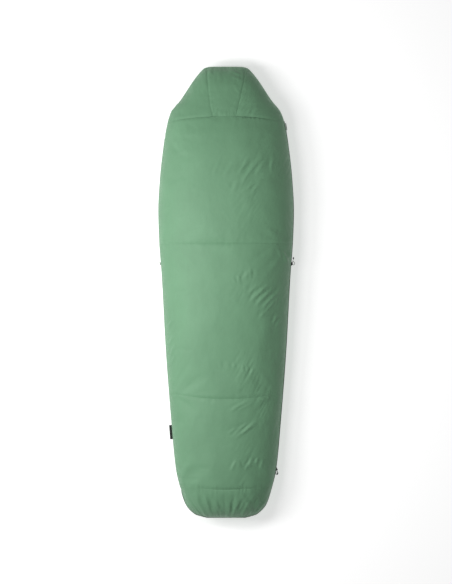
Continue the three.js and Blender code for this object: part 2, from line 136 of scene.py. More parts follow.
half_width = smooth_through(HALF_WIDTHS)
upper_height = smooth_through(UPPER_HEIGHTS)
stitch_bow = smooth_through(STITCH_BOWS)
left_hood_seam = smooth_through(LEFT_HOOD_SEAM)
right_hood_seam = smooth_through(RIGHT_HOOD_SEAM)


def link_object(name, data):
    item = bpy.data.objects.new(name, data)
    bpy.context.scene.collection.objects.link(item)
    return item


# ---------------------------------------------------------------- camera
def make_camera():
    """Looks straight down on the middle of the quilt."""
    view_height = 2.6575
    distance = 9.0
    data = bpy.data.cameras.new("camera")
    data.sensor_fit = "VERTICAL"
    data.sensor_height = 24.0
    data.lens = distance * data.sensor_height / view_height
    data.clip_end = 40.0
    camera = link_object("camera", data)
    camera.location = (0.0, MIDDLE_Y, SEAM_Z + distance)
    bpy.context.scene.camera = camera


make_camera()


# ---------------------------------------------------------------- materials
def set_inputs(node, values):
    for name, value in values.items():
        node.inputs[name].default_value = value


def new_material(name, colour, roughness):
    material = bpy.data.materials.new(name)
    material.use_nodes = True
    shader = material.node_tree.nodes["Principled BSDF"]
    set_inputs(shader, {"Base Color": (*colour, 1), "Roughness": roughness})
    return material, material.node_tree, shader


def add_node(tree, kind, **settings):
    node = tree.nodes.new(kind)
    for name, value in settings.items():
        setattr(node, name, value)
    return node


def math_node(tree, operation, a, b=None):
    node = add_node(tree, "ShaderNodeMath", operation=operation)
    for socket, value in zip(node.inputs, (a, b)):
        if value is None:
            continue
        if isinstance(value, (int, float)):
            socket.default_value = value
        else:
            tree.links.new(value, socket)
    return node.outputs[0]


def cloth_coordinates(tree, attribute):
    """Metres along the cloth where the mesh carries them, and else its own place in the frame."""
    if attribute:
        return add_node(tree, "ShaderNodeAttribute", attribute_name="cloth").outputs["Vector"]
    return add_node(tree, "ShaderNodeTexCoord").outputs["Object"]


def noise_factor(tree, coordinates, scale, detail=3.0, roughness=0.5):
    node = add_node(tree, "ShaderNodeTexNoise")
    set_inputs(node, {"Scale": scale, "Detail": detail, "Roughness": roughness})
    tree.links.new(coordinates, node.inputs["Vector"])
    return node.outputs["Fac"]


def weave_height(tree, coordinates, pitch):
    """Height of a plain weave with that yarn pitch: warp over weft, turn about."""
    split = add_node(tree, "ShaderNodeSeparateXYZ")
    tree.links.new(coordinates, split.inputs[0])
    turns = math.pi / pitch
    warp = math_node(tree, "SINE", math_node(tree, "MULTIPLY", split.outputs["X"], turns))
    weft = math_node(tree, "SINE", math_node(tree, "MULTIPLY", split.outputs["Y"], turns))
    crossing = math_node(tree, "MULTIPLY", warp, weft)
    edges = math_node(tree, "ADD", math_node(tree, "ABSOLUTE", warp), math_node(tree, "ABSOLUTE", weft))
    return math_node(tree, "ADD", math_node(tree, "MULTIPLY", crossing, 0.5), edges)


def add_bump(tree, shader, height, strength, distance, under=None):
    bump = add_node(tree, "ShaderNodeBump")
    set_inputs(bump, {"Strength": strength, "Distance": distance})
    tree.links.new(height, bump.inputs["Height"])
    if under is not None:
        tree.links.new(under, bump.inputs["Normal"])
    tree.links.new(bump.outputs["Normal"], shader.inputs["Normal"])
    return bump.outputs["Normal"]


def colour_between(tree, factor, dark, light, low=0.3, high=0.7):
    ramp = add_node(tree, "ShaderNodeValToRGB")
    ramp.color_ramp.elements[0].position = low
    ramp.color_ramp.elements[0].color = (*dark, 1)
    ramp.color_ramp.elements[1].position = high
    ramp.color_ramp.elements[1].color = (*light, 1)
    tree.links.new(factor, ramp.inputs["Fac"])
    return ramp.outputs["Color"]


def vary_roughness(tree, shader, factor, low, high):
    """Makes the roughness follow a factor, from low to high."""
    node = add_node(tree, "ShaderNodeMapRange")
    set_inputs(node, {"To Min": low, "To Max": high})
    tree.links.new(factor, node.inputs["Value"])
    tree.links.new(node.outputs["Result"], shader.inputs["Roughness"])


def scaled(colour, factor):
    return tuple(min(channel * factor, 1.0) for channel in colour)


def woven(name, colour, pitch, roughness=0.55, sheen=0.25, mottle=0.06, attribute=True):
    """Plain-woven synthetic cloth: yarn relief, fine crinkle, faint shade changes and a soft sheen."""
    material, tree, shader = new_material(name, colour, roughness)
    place = cloth_coordinates(tree, attribute)
    blotches = noise_factor(tree, place, 7.0, 4.0)
    slubs = noise_factor(tree, place, 420.0, 2.0)
    shade = math_node(
        tree, "ADD", math_node(tree, "MULTIPLY", blotches, 0.7), math_node(tree, "MULTIPLY", slubs, 0.3)
    )
    tint = colour_between(tree, shade, scaled(colour, 1 - mottle), scaled(colour, 1 + mottle))
    tree.links.new(tint, shader.inputs["Base Color"])
    vary_roughness(tree, shader, slubs, roughness - 0.06, roughness + 0.08)
    set_inputs(shader, {"Sheen Weight": sheen, "Sheen Roughness": 0.45, "Specular IOR Level": 0.35})
    crinkled = add_bump(tree, shader, noise_factor(tree, place, 70.0, 5.0, 0.6), 0.35, 0.0012)
    add_bump(tree, shader, weave_height(tree, place, pitch), 0.35, pitch * 0.25, under=crinkled)
    return material


def plastic(name, colour, roughness):
    """Moulded plastic or coated metal with a fine grain and rubbed patches."""
    material, tree, shader = new_material(name, colour, roughness)
    place = cloth_coordinates(tree, False)
    wear = noise_factor(tree, place, 160.0, 4.0)
    tint = colour_between(tree, wear, colour, scaled(colour, 1.7), 0.45, 0.8)
    tree.links.new(tint, shader.inputs["Base Color"])
    vary_roughness(tree, shader, wear, roughness - 0.08, roughness + 0.12)
    add_bump(tree, shader, noise_factor(tree, place, 1500.0, 2.0), 0.15, 0.0002)
    return material


def fibre(name, colour):
    """Lofted polyester filling."""
    material, tree, shader = new_material(name, colour, 0.95)
    place = cloth_coordinates(tree, True)
    strands = noise_factor(tree, place, 260.0, 8.0, 0.75)
    tree.links.new(
        colour_between(tree, strands, scaled(colour, 0.8), scaled(colour, 1.1)), shader.inputs["Base Color"]
    )
    add_bump(tree, shader, strands, 0.8, 0.003)
    return material


SHELL_GREEN = (0.138, 0.292, 0.168)
MATERIALS = {
    "shell": woven("shell_fabric", SHELL_GREEN, 0.0007, roughness=0.56, sheen=0.05),
    "lining": woven("lining_fabric", (0.060, 0.085, 0.070), 0.0007, roughness=0.6, sheen=0.2),
    "batt": fibre("batt_fibre", (0.78, 0.78, 0.75)),
    "tape": woven("zip_tape", (0.050, 0.105, 0.060), 0.0011, roughness=0.8, mottle=0.1),
    "coil": plastic("zip_coil", (0.035, 0.070, 0.043), 0.4),
    "thread": woven("thread", scaled(SHELL_GREEN, 0.86), 0.0004, roughness=0.7, attribute=False),
    "cord": woven("pale_cord", (0.40, 0.44, 0.38), 0.0006, roughness=0.75, mottle=0.15, attribute=False),
    "tag": woven("tag_fabric", (0.010, 0.010, 0.011), 0.0005, roughness=0.8, attribute=False),
    "metal": plastic("dark_metal", (0.022, 0.023, 0.025), 0.34),
    "plastic": plastic("black_plastic", (0.012, 0.012, 0.013), 0.45),
}
MATERIALS["metal"].node_tree.nodes["Principled BSDF"].inputs["Metallic"].default_value = 0.7


# ---------------------------------------------------------------- pieces
def new_piece(name, data, material):
    piece = link_object(name, data)
    data.materials.append(MATERIALS[material])
    return piece


# ---------------------------------------------------------------- cord loops
LOOP_SHAPE = [(0, -0.2), (0.3, -0.42), (0.7, -0.5), (1, 0), (0.7, 0.5), (0.3, 0.42), (0, 0.2)]
LOOP_ROOT = 0.0029
LOOP_DROOP = 0.007
LOOP_RADIUS = 0.00125


def through(points, steps):
    """A smooth path through given points, with steps places on each span."""
    padded_points = [2 * points[0] - points[1], *points, 2 * points[-1] - points[-2]]
    path = []
    for p0, p1, p2, p3 in zip(padded_points, padded_points[1:], padded_points[2:], padded_points[3:]):
        for t in np.arange(steps) / steps:
            curve = 2 * p1 + (p2 - p0) * t + (2 * p0 - 5 * p1 + 4 * p2 - p3) * t**2
            path.append((curve + (3 * p1 - p0 - 3 * p2 + p3) * t**3) / 2)
    return [*path, points[-1]]


def cord_curve(name, path, radius):
    data = bpy.data.curves.new(name, "CURVE")
    data.dimensions = "3D"
    data.bevel_depth = radius
    data.bevel_resolution = 3
    data.use_fill_caps = True
    spline = data.splines.new("POLY")
    spline.points.add(len(path) - 1)
    for point, place in zip(spline.points, path):
        point.co = (*place, 1)
    return new_piece(name, data, "cord")


def edge_loop(name, y, side, z, reach, width):
    """Sewn cord loop that stands out from the edge and droops a little."""
    x = side * float(half_width(y))
    points = [
        np.array([
            MIDDLE_X + x + side * (LOOP_ROOT + out * (reach - LOOP_ROOT)),
            MIDDLE_Y + y + along * width,
            z - LOOP_DROOP * out * out,
        ])
        for out, along in LOOP_SHAPE
    ]
    path = through(points, 5)
    piece = cord_curve(f"cord_{name}", path, LOOP_RADIUS)
    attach(piece, "base")
    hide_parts(name)


# Name, distance along the bag, side, height, reach and width of each loop.
LOOPS = [
    ("loop_left", 0.129, -1, SEAM_Z - 0.004, 0.018, 0.015),
    ("loop_right", 0.131, 1, SEAM_Z - 0.017, 0.018, 0.015),
    ("loop_lower_right", -0.826, 1, SEAM_Z - 0.017, 0.015, 0.013),
]
for loop in LOOPS:
    edge_loop(*loop)


# ---------------------------------------------------------------- mesh helpers
def mesh_piece(name, vertices, faces, material, cloth=None):
    data = bpy.data.meshes.new(name)
    data.from_pydata([tuple(v) for v in vertices], [], [tuple(f) for f in faces])
    data.polygons.foreach_set("use_smooth", [True] * len(data.polygons))
    if cloth is not None:
        attribute = data.attributes.new("cloth", "FLOAT_VECTOR", "POINT")
        attribute.data.foreach_set("vector", np.asarray(cloth, np.float32).ravel())
    data.update()
    return new_piece(name, data, material)


def grid_faces(rows, columns, flip=False, keep=None, wrap=False):
    """Quads of a grid of points, row by row."""
    spans = columns if wrap else columns - 1
    i, j = (index.ravel() for index in np.meshgrid(np.arange(rows - 1), np.arange(spans), indexing="ij"))
    if keep is not None:
        chosen = keep[i, j]
        i, j = i[chosen], j[chosen]
    after = (j + 1) % columns
    corners = [i * columns + j, i * columns + after, (i + 1) * columns + after, (i + 1) * columns + j]
    return np.stack(corners[::-1] if flip else corners, axis=1)


def running_length(points, axis):
    steps = np.linalg.norm(np.diff(points, axis=axis), axis=2)
    start = np.zeros_like(np.take(steps, [0], axis=axis))
    return np.concatenate([start, np.cumsum(steps, axis=axis)], axis=axis)


def along_cloth(points):
    """Distances in metres across and along a grid of points, for the weave to follow."""
    middle = points.shape[1] // 2
    across = running_length(points, 1)
    along = running_length(points, 0)[:, middle : middle + 1]
    return np.stack([across - across[:, middle : middle + 1], along + 0 * across, 0 * across], axis=2)


def grid_piece(name, points, material, flip=False, keep=None):
    rows, columns = points.shape[:2]
    faces = grid_faces(rows, columns, flip, keep)
    vertices, cloth = points.reshape(-1, 3), along_cloth(points).reshape(-1, 3)
    used, faces = np.unique(faces, return_inverse=True)
    return mesh_piece(name, vertices[used], faces.reshape(-1, 4), material, cloth[used])


def plan(points):
    """Distances of points across and along the bag from its middle."""
    return points[..., 0] - MIDDLE_X, points[..., 1] - MIDDLE_Y


def in_frame(x, y, z):
    """Places in the CAD frame of points given from the bag's middle, all at one height."""
    return np.stack([MIDDLE_X + x, MIDDLE_Y + y, np.full(len(x), z)], axis=1)


def upright(path):
    """An upward direction for each point of a path."""
    return np.tile([0.0, 0.0, 1.0], (len(path), 1))


def slab_piece(name, outer, inner, material):
    """Closed slab between two grids of points."""
    rows, columns = outer.shape[:2]
    index = np.arange(rows * columns).reshape(rows, columns)
    rim = np.concatenate([index[0, :-1], index[:-1, -1], index[-1, :0:-1], index[:0:-1, 0]])
    count = rows * columns
    walls = np.stack([rim, rim + count, np.roll(rim, -1) + count, np.roll(rim, -1)], axis=1)
    faces = np.vstack([grid_faces(rows, columns), grid_faces(rows, columns, flip=True) + count, walls])
    vertices = np.vstack([outer.reshape(-1, 3), inner.reshape(-1, 3)])
    a, b, c, d = (vertices[faces[:, k]] for k in range(4))
    volume = (np.einsum("ij,ij->i", a, np.cross(b, c)) + np.einsum("ij,ij->i", a, np.cross(c, d))).sum()
    if volume < 0:
        faces = faces[:, ::-1]
    cloth = np.vstack([along_cloth(outer).reshape(-1, 3), along_cloth(inner).reshape(-1, 3)])
    return mesh_piece(name, vertices, faces, material, cloth)


def swept(name, path, sides, ups, profile, material):
    """Closed bar: a profile of (outward, upward) points carried along a path of points."""
    rows, columns = len(path), len(profile)
    rings = [path + sides * outward + ups * upward for outward, upward in profile]
    points = np.stack(rings, axis=1)
    faces = [tuple(face) for face in grid_faces(rows, columns, wrap=True)]
    faces.append(tuple(range(columns))[::-1])
    faces.append(tuple(range((rows - 1) * columns, rows * columns)))
    middle = points[:, :1].repeat(columns, axis=1)
    lengths = running_length(middle, 0)
    around = running_length(points, 1)
    cloth = np.stack([around, lengths, 0 * lengths], axis=2)
    piece = mesh_piece(name, points.reshape(-1, 3), faces, material, cloth.reshape(-1, 3))
    bpy.context.view_layer.update()
    return outward_facing(piece)


def outward_facing(piece):
    """Turns the faces of a closed mesh outwards."""
    data = piece.data
    data.calc_loop_triangles()
    volume = 0.0
    for triangle in data.loop_triangles:
        a, b, c = (data.vertices[k].co for k in triangle.vertices)
        volume += a.dot(b.cross(c))
    if volume < 0:
        data.flip_normals()
    return piece


def resampled(points, step):
    """The same path with places a step apart, its tangents and its length."""
    points = np.asarray(points)
    lengths = np.concatenate([[0], np.cumsum(np.linalg.norm(np.diff(points, axis=0), axis=1))])
    count = max(2, int(round(lengths[-1] / step)) + 1)
    places = np.linspace(0, lengths[-1], count)
    path = np.stack([np.interp(places, lengths, points[:, k]) for k in range(3)], axis=1)
    tangents = np.gradient(path, axis=0)
    return path, tangents / np.linalg.norm(tangents, axis=1, keepdims=True)


STITCH_LENGTH = 0.0034
STITCH_PITCH = 0.0046


def stitch_mesh(name, lines, radius=0.00045):
    """Thread stitches along lines of (points, surface normals), each a small raised spindle."""
    vertices, faces = [], []
    for points, surface_normals in lines:
        path, tangents = resampled(points, STITCH_PITCH)
        lengths = np.linspace(0, 1, len(points))
        at = np.linspace(0, 1, len(path))
        normal = np.stack([np.interp(at, lengths, surface_normals[:, k]) for k in range(3)], axis=1)
        sides = np.cross(tangents, normal)
        for place, tangent, up, side in zip(path[1:-1], tangents[1:-1], normal[1:-1], sides[1:-1]):
            first = len(vertices)
            reach = tangent * STITCH_LENGTH / 2
            vertices += [place - reach - up * radius, place + reach - up * radius]
            for share in (-0.5, 0.5):
                ring = place + reach * share
                vertices += [ring + way * radius for way in (up, side, -up, -side)]
            for k in range(4):
                after = (k + 1) % 4
                a, b, c, d = first + 2 + k, first + 2 + after, first + 6 + after, first + 6 + k
                faces += [(first, b, a), (a, b, c, d), (first + 1, d, c)]
    return mesh_piece(name, vertices, faces, "thread")


def noise_field(points, seed):
    """Smooth noise at each point, about -1 to 1."""
    shift = Vector((seed * 17.3, seed * 5.1, seed * 9.7))
    values = [noise.noise(Vector(p) + shift) for p in points.reshape(-1, 3)]
    return np.array(values).reshape(points.shape[:-1])


def flat_noise(x, y, per_x, per_y, seed):
    """Noise over the plan, with that many features per metre each way."""
    return noise_field(np.stack([x * per_x, y * per_y, 0 * x], axis=-1), seed)


def waves(x, y, layers):
    """Sum of layers of noise over the plan: height, features per metre each way, seed."""
    return sum(height * flat_noise(x, y, per_x, per_y, seed) for height, per_x, per_y, seed in layers)


def bell(distance, width):
    return np.exp(-((distance / width) ** 2))


def smooth_step(value, low, high):
    t = np.clip((value - low) / (high - low), 0, 1)
    return t * t * (3 - 2 * t)


# ---------------------------------------------------------------- the wall of the bag
ROW_STEP = 0.0048
END_STEPS = 28
COLUMNS = 161
HOOD_SEAM_SHARE = 0.3  # share of the columns inside the hood's two seams


def end_rows(sign, rounding):
    """Rows (y, closure, inset) over one closing end, from where it starts to the tip."""
    angle = np.linspace(0, math.pi / 2, END_STEPS + 1)
    progress = np.sin(angle) ** (2 / END_ROUNDNESS)
    closure = np.cos(angle) ** (2 / END_ROUNDNESS)
    closure[-1] = 0
    return np.stack([sign * (HALF_LENGTH - rounding + rounding * progress), closure, sign * progress], axis=1)


def single_row(y):
    return np.array([[y, 1.0, 0.0]])


def straight_rows(low, high, step=ROW_STEP):
    """Rows (y, closure, inset) where the section is whole."""
    ys = np.linspace(low, high, max(2, int(round((high - low) / step)) + 1))
    return np.stack([ys, np.ones_like(ys), np.zeros_like(ys)], axis=1)


def wall(rows, upper, depth, columns=COLUMNS, gap=SEAM_GAP, hood=False):
    """Grid of points on the upper or lower wall at a depth below the outside."""
    roundness = UPPER_ROUNDNESS if upper else LOWER_ROUNDNESS
    c = np.linspace(-1, 1, columns)
    share = np.sign(c) * np.abs(np.sin(c * math.pi / 2)) ** (2 / roundness)
    y, closure, inset = (rows[:, k][:, None] for k in range(3))
    share = np.tile(share, (len(rows), 1))
    if hood:
        share = warp_to_hood_seams(share, c, y, roundness)
    bowed = y + (stitch_bow(y) * share**2 * closure if upper else 0 * share)
    rise = np.clip(1 - np.abs(share) ** roundness, 0, 1) ** (1 / roundness)
    if upper:
        z = SEAM_Z + gap + (upper_height(bowed) - depth - gap) * closure * rise
    else:
        drop = np.minimum((LOWER_BULGE - depth) * rise, SEAM_Z - depth) - gap
        z = SEAM_Z - gap - np.maximum(drop, 0) * closure
    x = MIDDLE_X + (half_width(bowed) - depth) * share
    return np.stack([x, MIDDLE_Y + bowed - inset * depth * END_THICKENING + 0 * x, z + 0 * x], axis=2)


def warp_to_hood_seams(share, c, y, roundness):
    """Moves the columns across so that one column runs along each seam of the hood."""
    seam_share = abs(math.sin(HOOD_SEAM_SHARE * math.pi / 2)) ** (2 / roundness)
    width = half_width(y)
    warped = share.copy()
    for side, seam_line in ((-1, left_hood_seam), (1, right_hood_seam)):
        chosen = c * side > 0
        seam = np.minimum(np.abs(seam_line(y)) / width, 0.96)
        mine = np.abs(share[:, chosen])
        inside = seam * mine / seam_share
        outside = seam + (1 - seam) * (mine - seam_share) / (1 - seam_share)
        warped[:, chosen] = side * np.where(mine <= seam_share, inside, outside)
    return warped


def outward_normals(points, upper):
    cross = np.cross(np.gradient(points, axis=1), np.gradient(points, axis=0))
    cross /= np.maximum(np.linalg.norm(cross, axis=2, keepdims=True), 1e-12)
    return cross if upper else -cross


FOOT_END = end_rows(-1, FOOT_ROUNDING)[::-1]
HEAD_END = end_rows(1, HEAD_ROUNDING)
STITCH_YS = [FOOT_STITCH_Y, LOWER_STITCH_Y, UPPER_STITCH_Y, NECK_Y]
UPPER_SECTIONS = [
    ("foot", np.vstack([FOOT_END[:-1], straight_rows(-HALF_LENGTH + FOOT_ROUNDING, FOOT_STITCH_Y)])),
    ("legs", straight_rows(FOOT_STITCH_Y, LOWER_STITCH_Y)),
    ("hips", straight_rows(LOWER_STITCH_Y, UPPER_STITCH_Y)),
    ("chest", straight_rows(UPPER_STITCH_Y, NECK_Y)),
    ("hood", np.vstack([straight_rows(NECK_Y, HALF_LENGTH - HEAD_ROUNDING), HEAD_END[1:]])),
]

# ---------------------------------------------------------------- creases and puckers
# Each crease: where it starts and ends over the plan, its width and its height.
CREASES = [
    (-0.057, 0.520, -0.028, 0.584, 0.006, 0.0016), (-0.012, 0.512, 0.030, 0.568, 0.007, 0.0022),
    (0.055, 0.520, 0.100, 0.594, 0.007, 0.0024), (0.070, 0.488, 0.165, 0.604, 0.009, 0.0046),
    (0.070, 0.446, 0.165, 0.505, 0.008, 0.0030), (0.112, 0.442, 0.156, 0.486, 0.007, 0.0026),
    (0.020, 0.440, 0.060, 0.500, 0.008, 0.0020), (0.130, 0.520, 0.180, 0.590, 0.009, 0.0028),
    (0.203, 0.530, 0.214, 0.625, 0.008, 0.0020), (0.010, 0.494, 0.016, 0.455, 0.005, 0.0014),
    (0.249, 0.192, 0.277, 0.130, 0.007, 0.0034), (0.232, 0.200, 0.250, 0.150, 0.007, 0.0020),
    (0.262, 0.176, 0.284, 0.120, 0.006, 0.0022), (-0.004, 0.196, 0.016, 0.216, 0.006, 0.0014),
    (0.033, 0.068, 0.042, 0.034, 0.006, 0.0022), (0.054, 0.078, 0.058, 0.034, 0.006, 0.0026),
    (0.086, 0.060, 0.100, 0.094, 0.007, 0.0026), (0.107, 0.108, 0.109, 0.058, 0.006, 0.0022),
    (0.105, -0.004, 0.141, 0.028, 0.007, 0.0022), (0.105, -0.045, 0.195, 0.032, 0.008, 0.0030),
    (0.132, -0.060, 0.218, 0.016, 0.008, 0.0034), (0.159, -0.081, 0.250, 0.010, 0.008, 0.0036),
    (0.172, -0.092, 0.242, -0.026, 0.007, 0.0028), (0.213, -0.146, 0.236, -0.098, 0.007, 0.0030),
    (0.222, -0.160, 0.254, -0.120, 0.006, 0.0024), (0.146, -0.120, 0.176, -0.090, 0.007, 0.0018),
    (-0.264, -0.158, -0.240, -0.124, 0.006, 0.0024), (-0.260, -0.240, -0.238, -0.200, 0.006, 0.0024),
    (-0.252, -0.290, -0.229, -0.238, 0.006, 0.0026), (-0.248, -0.330, -0.224, -0.276, 0.006, 0.0020),
    (-0.030, -0.308, -0.021, -0.344, 0.005, 0.0016), (0.006, -0.308, 0.015, -0.344, 0.005, 0.0016),
    (0.033, -0.314, 0.038, -0.340, 0.005, 0.0018), (0.073, -0.322, 0.078, -0.366, 0.005, 0.0022),
    (0.109, -0.374, 0.120, -0.344, 0.006, 0.0020), (0.092, -0.330, 0.098, -0.366, 0.005, 0.0016),
    (0.015, -0.538, 0.102, -0.492, 0.007, 0.0026), (0.050, -0.536, 0.118, -0.502, 0.006, 0.0016),
    (0.024, -0.656, 0.106, -0.586, 0.007, 0.0030), (0.037, -0.660, 0.142, -0.590, 0.007, 0.0034),
    (0.073, -0.638, 0.142, -0.573, 0.007, 0.0026), (0.006, -0.640, 0.060, -0.606, 0.006, 0.0018),
    (0.024, -0.804, 0.047, -0.753, 0.006, 0.0026), (0.051, -0.758, 0.065, -0.786, 0.006, 0.0024),
    (0.087, -0.800, 0.106, -0.762, 0.006, 0.0028), (0.106, -0.792, 0.114, -0.744, 0.006, 0.0022),
    (0.132, -0.774, 0.146, -0.744, 0.006, 0.0024), (0.156, -0.800, 0.170, -0.748, 0.007, 0.0020),
    (0.056, 0.802, 0.091, 0.846, 0.006, 0.0030), (0.066, 0.800, 0.118, 0.838, 0.006, 0.0030),
    (0.087, 0.797, 0.142, 0.838, 0.006, 0.0026), (0.114, 0.792, 0.146, 0.820, 0.006, 0.0018),
    (0.012, 1.006, 0.072, 0.974, 0.006, 0.0018), (0.018, 0.976, 0.076, 0.952, 0.006, 0.0018),
    (0.028, 0.938, 0.070, 0.906, 0.006, 0.0016), (0.038, 0.916, 0.066, 0.896, 0.005, 0.0014),
    (-0.050, 0.804, -0.036, 0.822, 0.005, 0.0016), (-0.080, 1.000, -0.058, 0.976, 0.006, 0.0014),
    (-0.053, -0.936, -0.030, -0.986, 0.007, 0.0040), (-0.096, -0.918, -0.074, -0.990, 0.009, 0.0026),
    (0.066, -0.912, 0.114, -0.972, 0.007, 0.0040), (0.112, -0.966, 0.106, -1.012, 0.007, 0.0034),
    (0.054, -0.930, 0.040, -0.984, 0.007, 0.0026), (0.138, -0.918, 0.152, -0.964, 0.007, 0.0026),
    (-0.140, -0.900, -0.120, -0.960, 0.010, 0.0020), (0.010, -0.940, 0.014, -0.994, 0.008, 0.0020),
]


# Layers of noise: height, features per metre across and along, seed.
LOFT_WAVES = [(0.0026, 6, 5, 1), (0.0011, 22, 13, 2), (0.0004, 60, 40, 4)]
GROUND_WAVES = [(0.0016, 8, 6, 11), (0.0010, 28, 17, 12)]
LINING_WAVES = [(0.0022, 9, 7, 21), (0.0014, 30, 22, 22)]
STITCH_PUCKERS = [(1.0, 95, 12, 3), (0.6, 190, 20, 13)]
SIDE_PUCKERS = [(1.0, 6, 75, 5), (0.5, 6, 150, 15)]
FOOT_FOLDS = [(0.0034, 26, 4, 8), (0.0014, 80, 9, 9)]
STITCH_FURROW = 0.0010
FOOT_FURROW = 0.0024
FOOT_GATHER_LENGTH = 0.150


def crease_relief(x, y):
    """Long thin ridges with a shallow valley beside each, fading out at both ends."""
    total = np.zeros_like(x)
    for x0, y0, x1, y1, width, height in CREASES:
        length = math.hypot(x1 - x0, y1 - y0)
        dx, dy = (x1 - x0) / length, (y1 - y0) / length
        along = ((x - x0) * dx + (y - y0) * dy) / length
        off = -(x - x0) * dy + (y - y0) * dx - 0.04 * length * np.sin(along * math.pi)
        fade = np.sin(np.clip(along, 0, 1) * math.pi) ** 0.8
        total += height * fade * (bell(off, width) - 0.6 * bell(off - 1.7 * width, 1.2 * width))
    return total


def crinkles(x, y):
    """Fine slanting wrinkles in patches, most of them towards the zip."""
    along, across = 0.45 * x + 0.89 * y, 0.89 * x - 0.45 * y
    ridges = 0.5 - np.abs(flat_noise(across, along, 62, 11, 16)) * 2.2
    patches = smooth_step(flat_noise(x, y, 7, 5, 17), -0.10, 0.30)
    return 0.0013 * ridges * patches * smooth_step(x, -0.08, 0.10)


def stitch_relief(x, y, place):
    """Furrow and puckers at each line of stitching across the bag."""
    total = np.zeros_like(x)
    puckers = waves(x, y, STITCH_PUCKERS)
    strength = 0.45 + 0.55 * smooth_step(flat_noise(x, y, 5, 1, 14), -0.3, 0.4)
    for stitch in STITCH_YS:
        distance = np.abs(place - stitch)
        depth = STITCH_FURROW if stitch > FOOT_STITCH_Y else FOOT_FURROW * bell(x - 0.02, 0.115)
        total += 0.0007 * bell(distance, 0.036) - depth * bell(distance, 0.0042)
        total += 0.0022 * strength * puckers * bell(distance, 0.018) * (1 - 0.8 * bell(distance, 0.004))
    return total


def foot_gathers(x, y):
    """Soft folds that fan up from the gathered end of the foot."""
    up = np.clip((y + HALF_LENGTH) / FOOT_GATHER_LENGTH, 0, 1)
    spread = x / (0.5 + 0.5 * up)
    fade = smooth_step(FOOT_STITCH_Y - y, 0, 0.045)
    tip = bell(y + HALF_LENGTH - 0.014, 0.012) * flat_noise(x, y, 150, 8, 10)
    return fade * (waves(spread, y, FOOT_FOLDS) + 0.0016 * tip)


def hood_relief(x, y):
    """The hood's two sewn seams, with ripples beside them and at the crown."""
    total = np.zeros_like(x)
    for seam_line in (left_hood_seam, right_hood_seam):
        off = np.abs(x - seam_line(y))
        ripples = flat_noise(x, y, 14, 85, 6)
        total += 0.0005 * bell(off, 0.018) - 0.0012 * bell(off, 0.0038) + 0.0010 * ripples * bell(off, 0.016)
    above_neck = smooth_step(y, NECK_Y - 0.002, NECK_Y + 0.006)
    crown = smooth_step(y, 0.86, 0.99)
    return total * above_neck + crown * 0.0018 * flat_noise(x, y, 55, 20, 7)


def seam_puckers(x, y, points):
    """Short ripples square to the side seams."""
    above = np.abs(points[..., 2] - SEAM_Z)
    return 0.0026 * waves(x, y, SIDE_PUCKERS) * bell(above - 0.030, 0.024) * smooth_step(above, 0.010, 0.026)


def upper_relief(points, rows):
    """How far the filled upper shell stands out from its plain shape."""
    x, y = plan(points)
    place = rows[:, 0][:, None] + 0 * x
    total = waves(x, y, LOFT_WAVES) + crinkles(x, y)
    total += stitch_relief(x, y, place) + crease_relief(x, y) + foot_gathers(x, y)
    total += seam_puckers(x, y, points) + hood_relief(x, y)
    return total


def lower_relief(points):
    """How far the shell on the ground side stands out from its plain shape."""
    x, y = plan(points)
    total = waves(x, y, GROUND_WAVES)
    for stitch in STITCH_YS[:-1]:
        distance = np.abs(y - stitch)
        total += 0.0012 * bell(distance, 0.030) - 0.0030 * bell(distance, 0.005)
    return total + seam_puckers(x, y, points)


def edge_fade(points, closure):
    """0 on the seams that join the two halves, and 1 away from them."""
    above = np.abs(points[..., 2] - SEAM_Z)
    return smooth_step(above, 0.004, 0.030) * smooth_step(closure[:, None], 0.0, 0.4)


# ---------------------------------------------------------------- cloth simulation
SIM_STRIDE = 2
SIM_FRAMES = 20
PINNED_CLOSURE = 0.45  # the ends are pinned where they have closed this far
BILLOW_LIMIT = 0.006
HOLLOW_LIMIT = 0.002
BILLOW_SHARE = 0.45


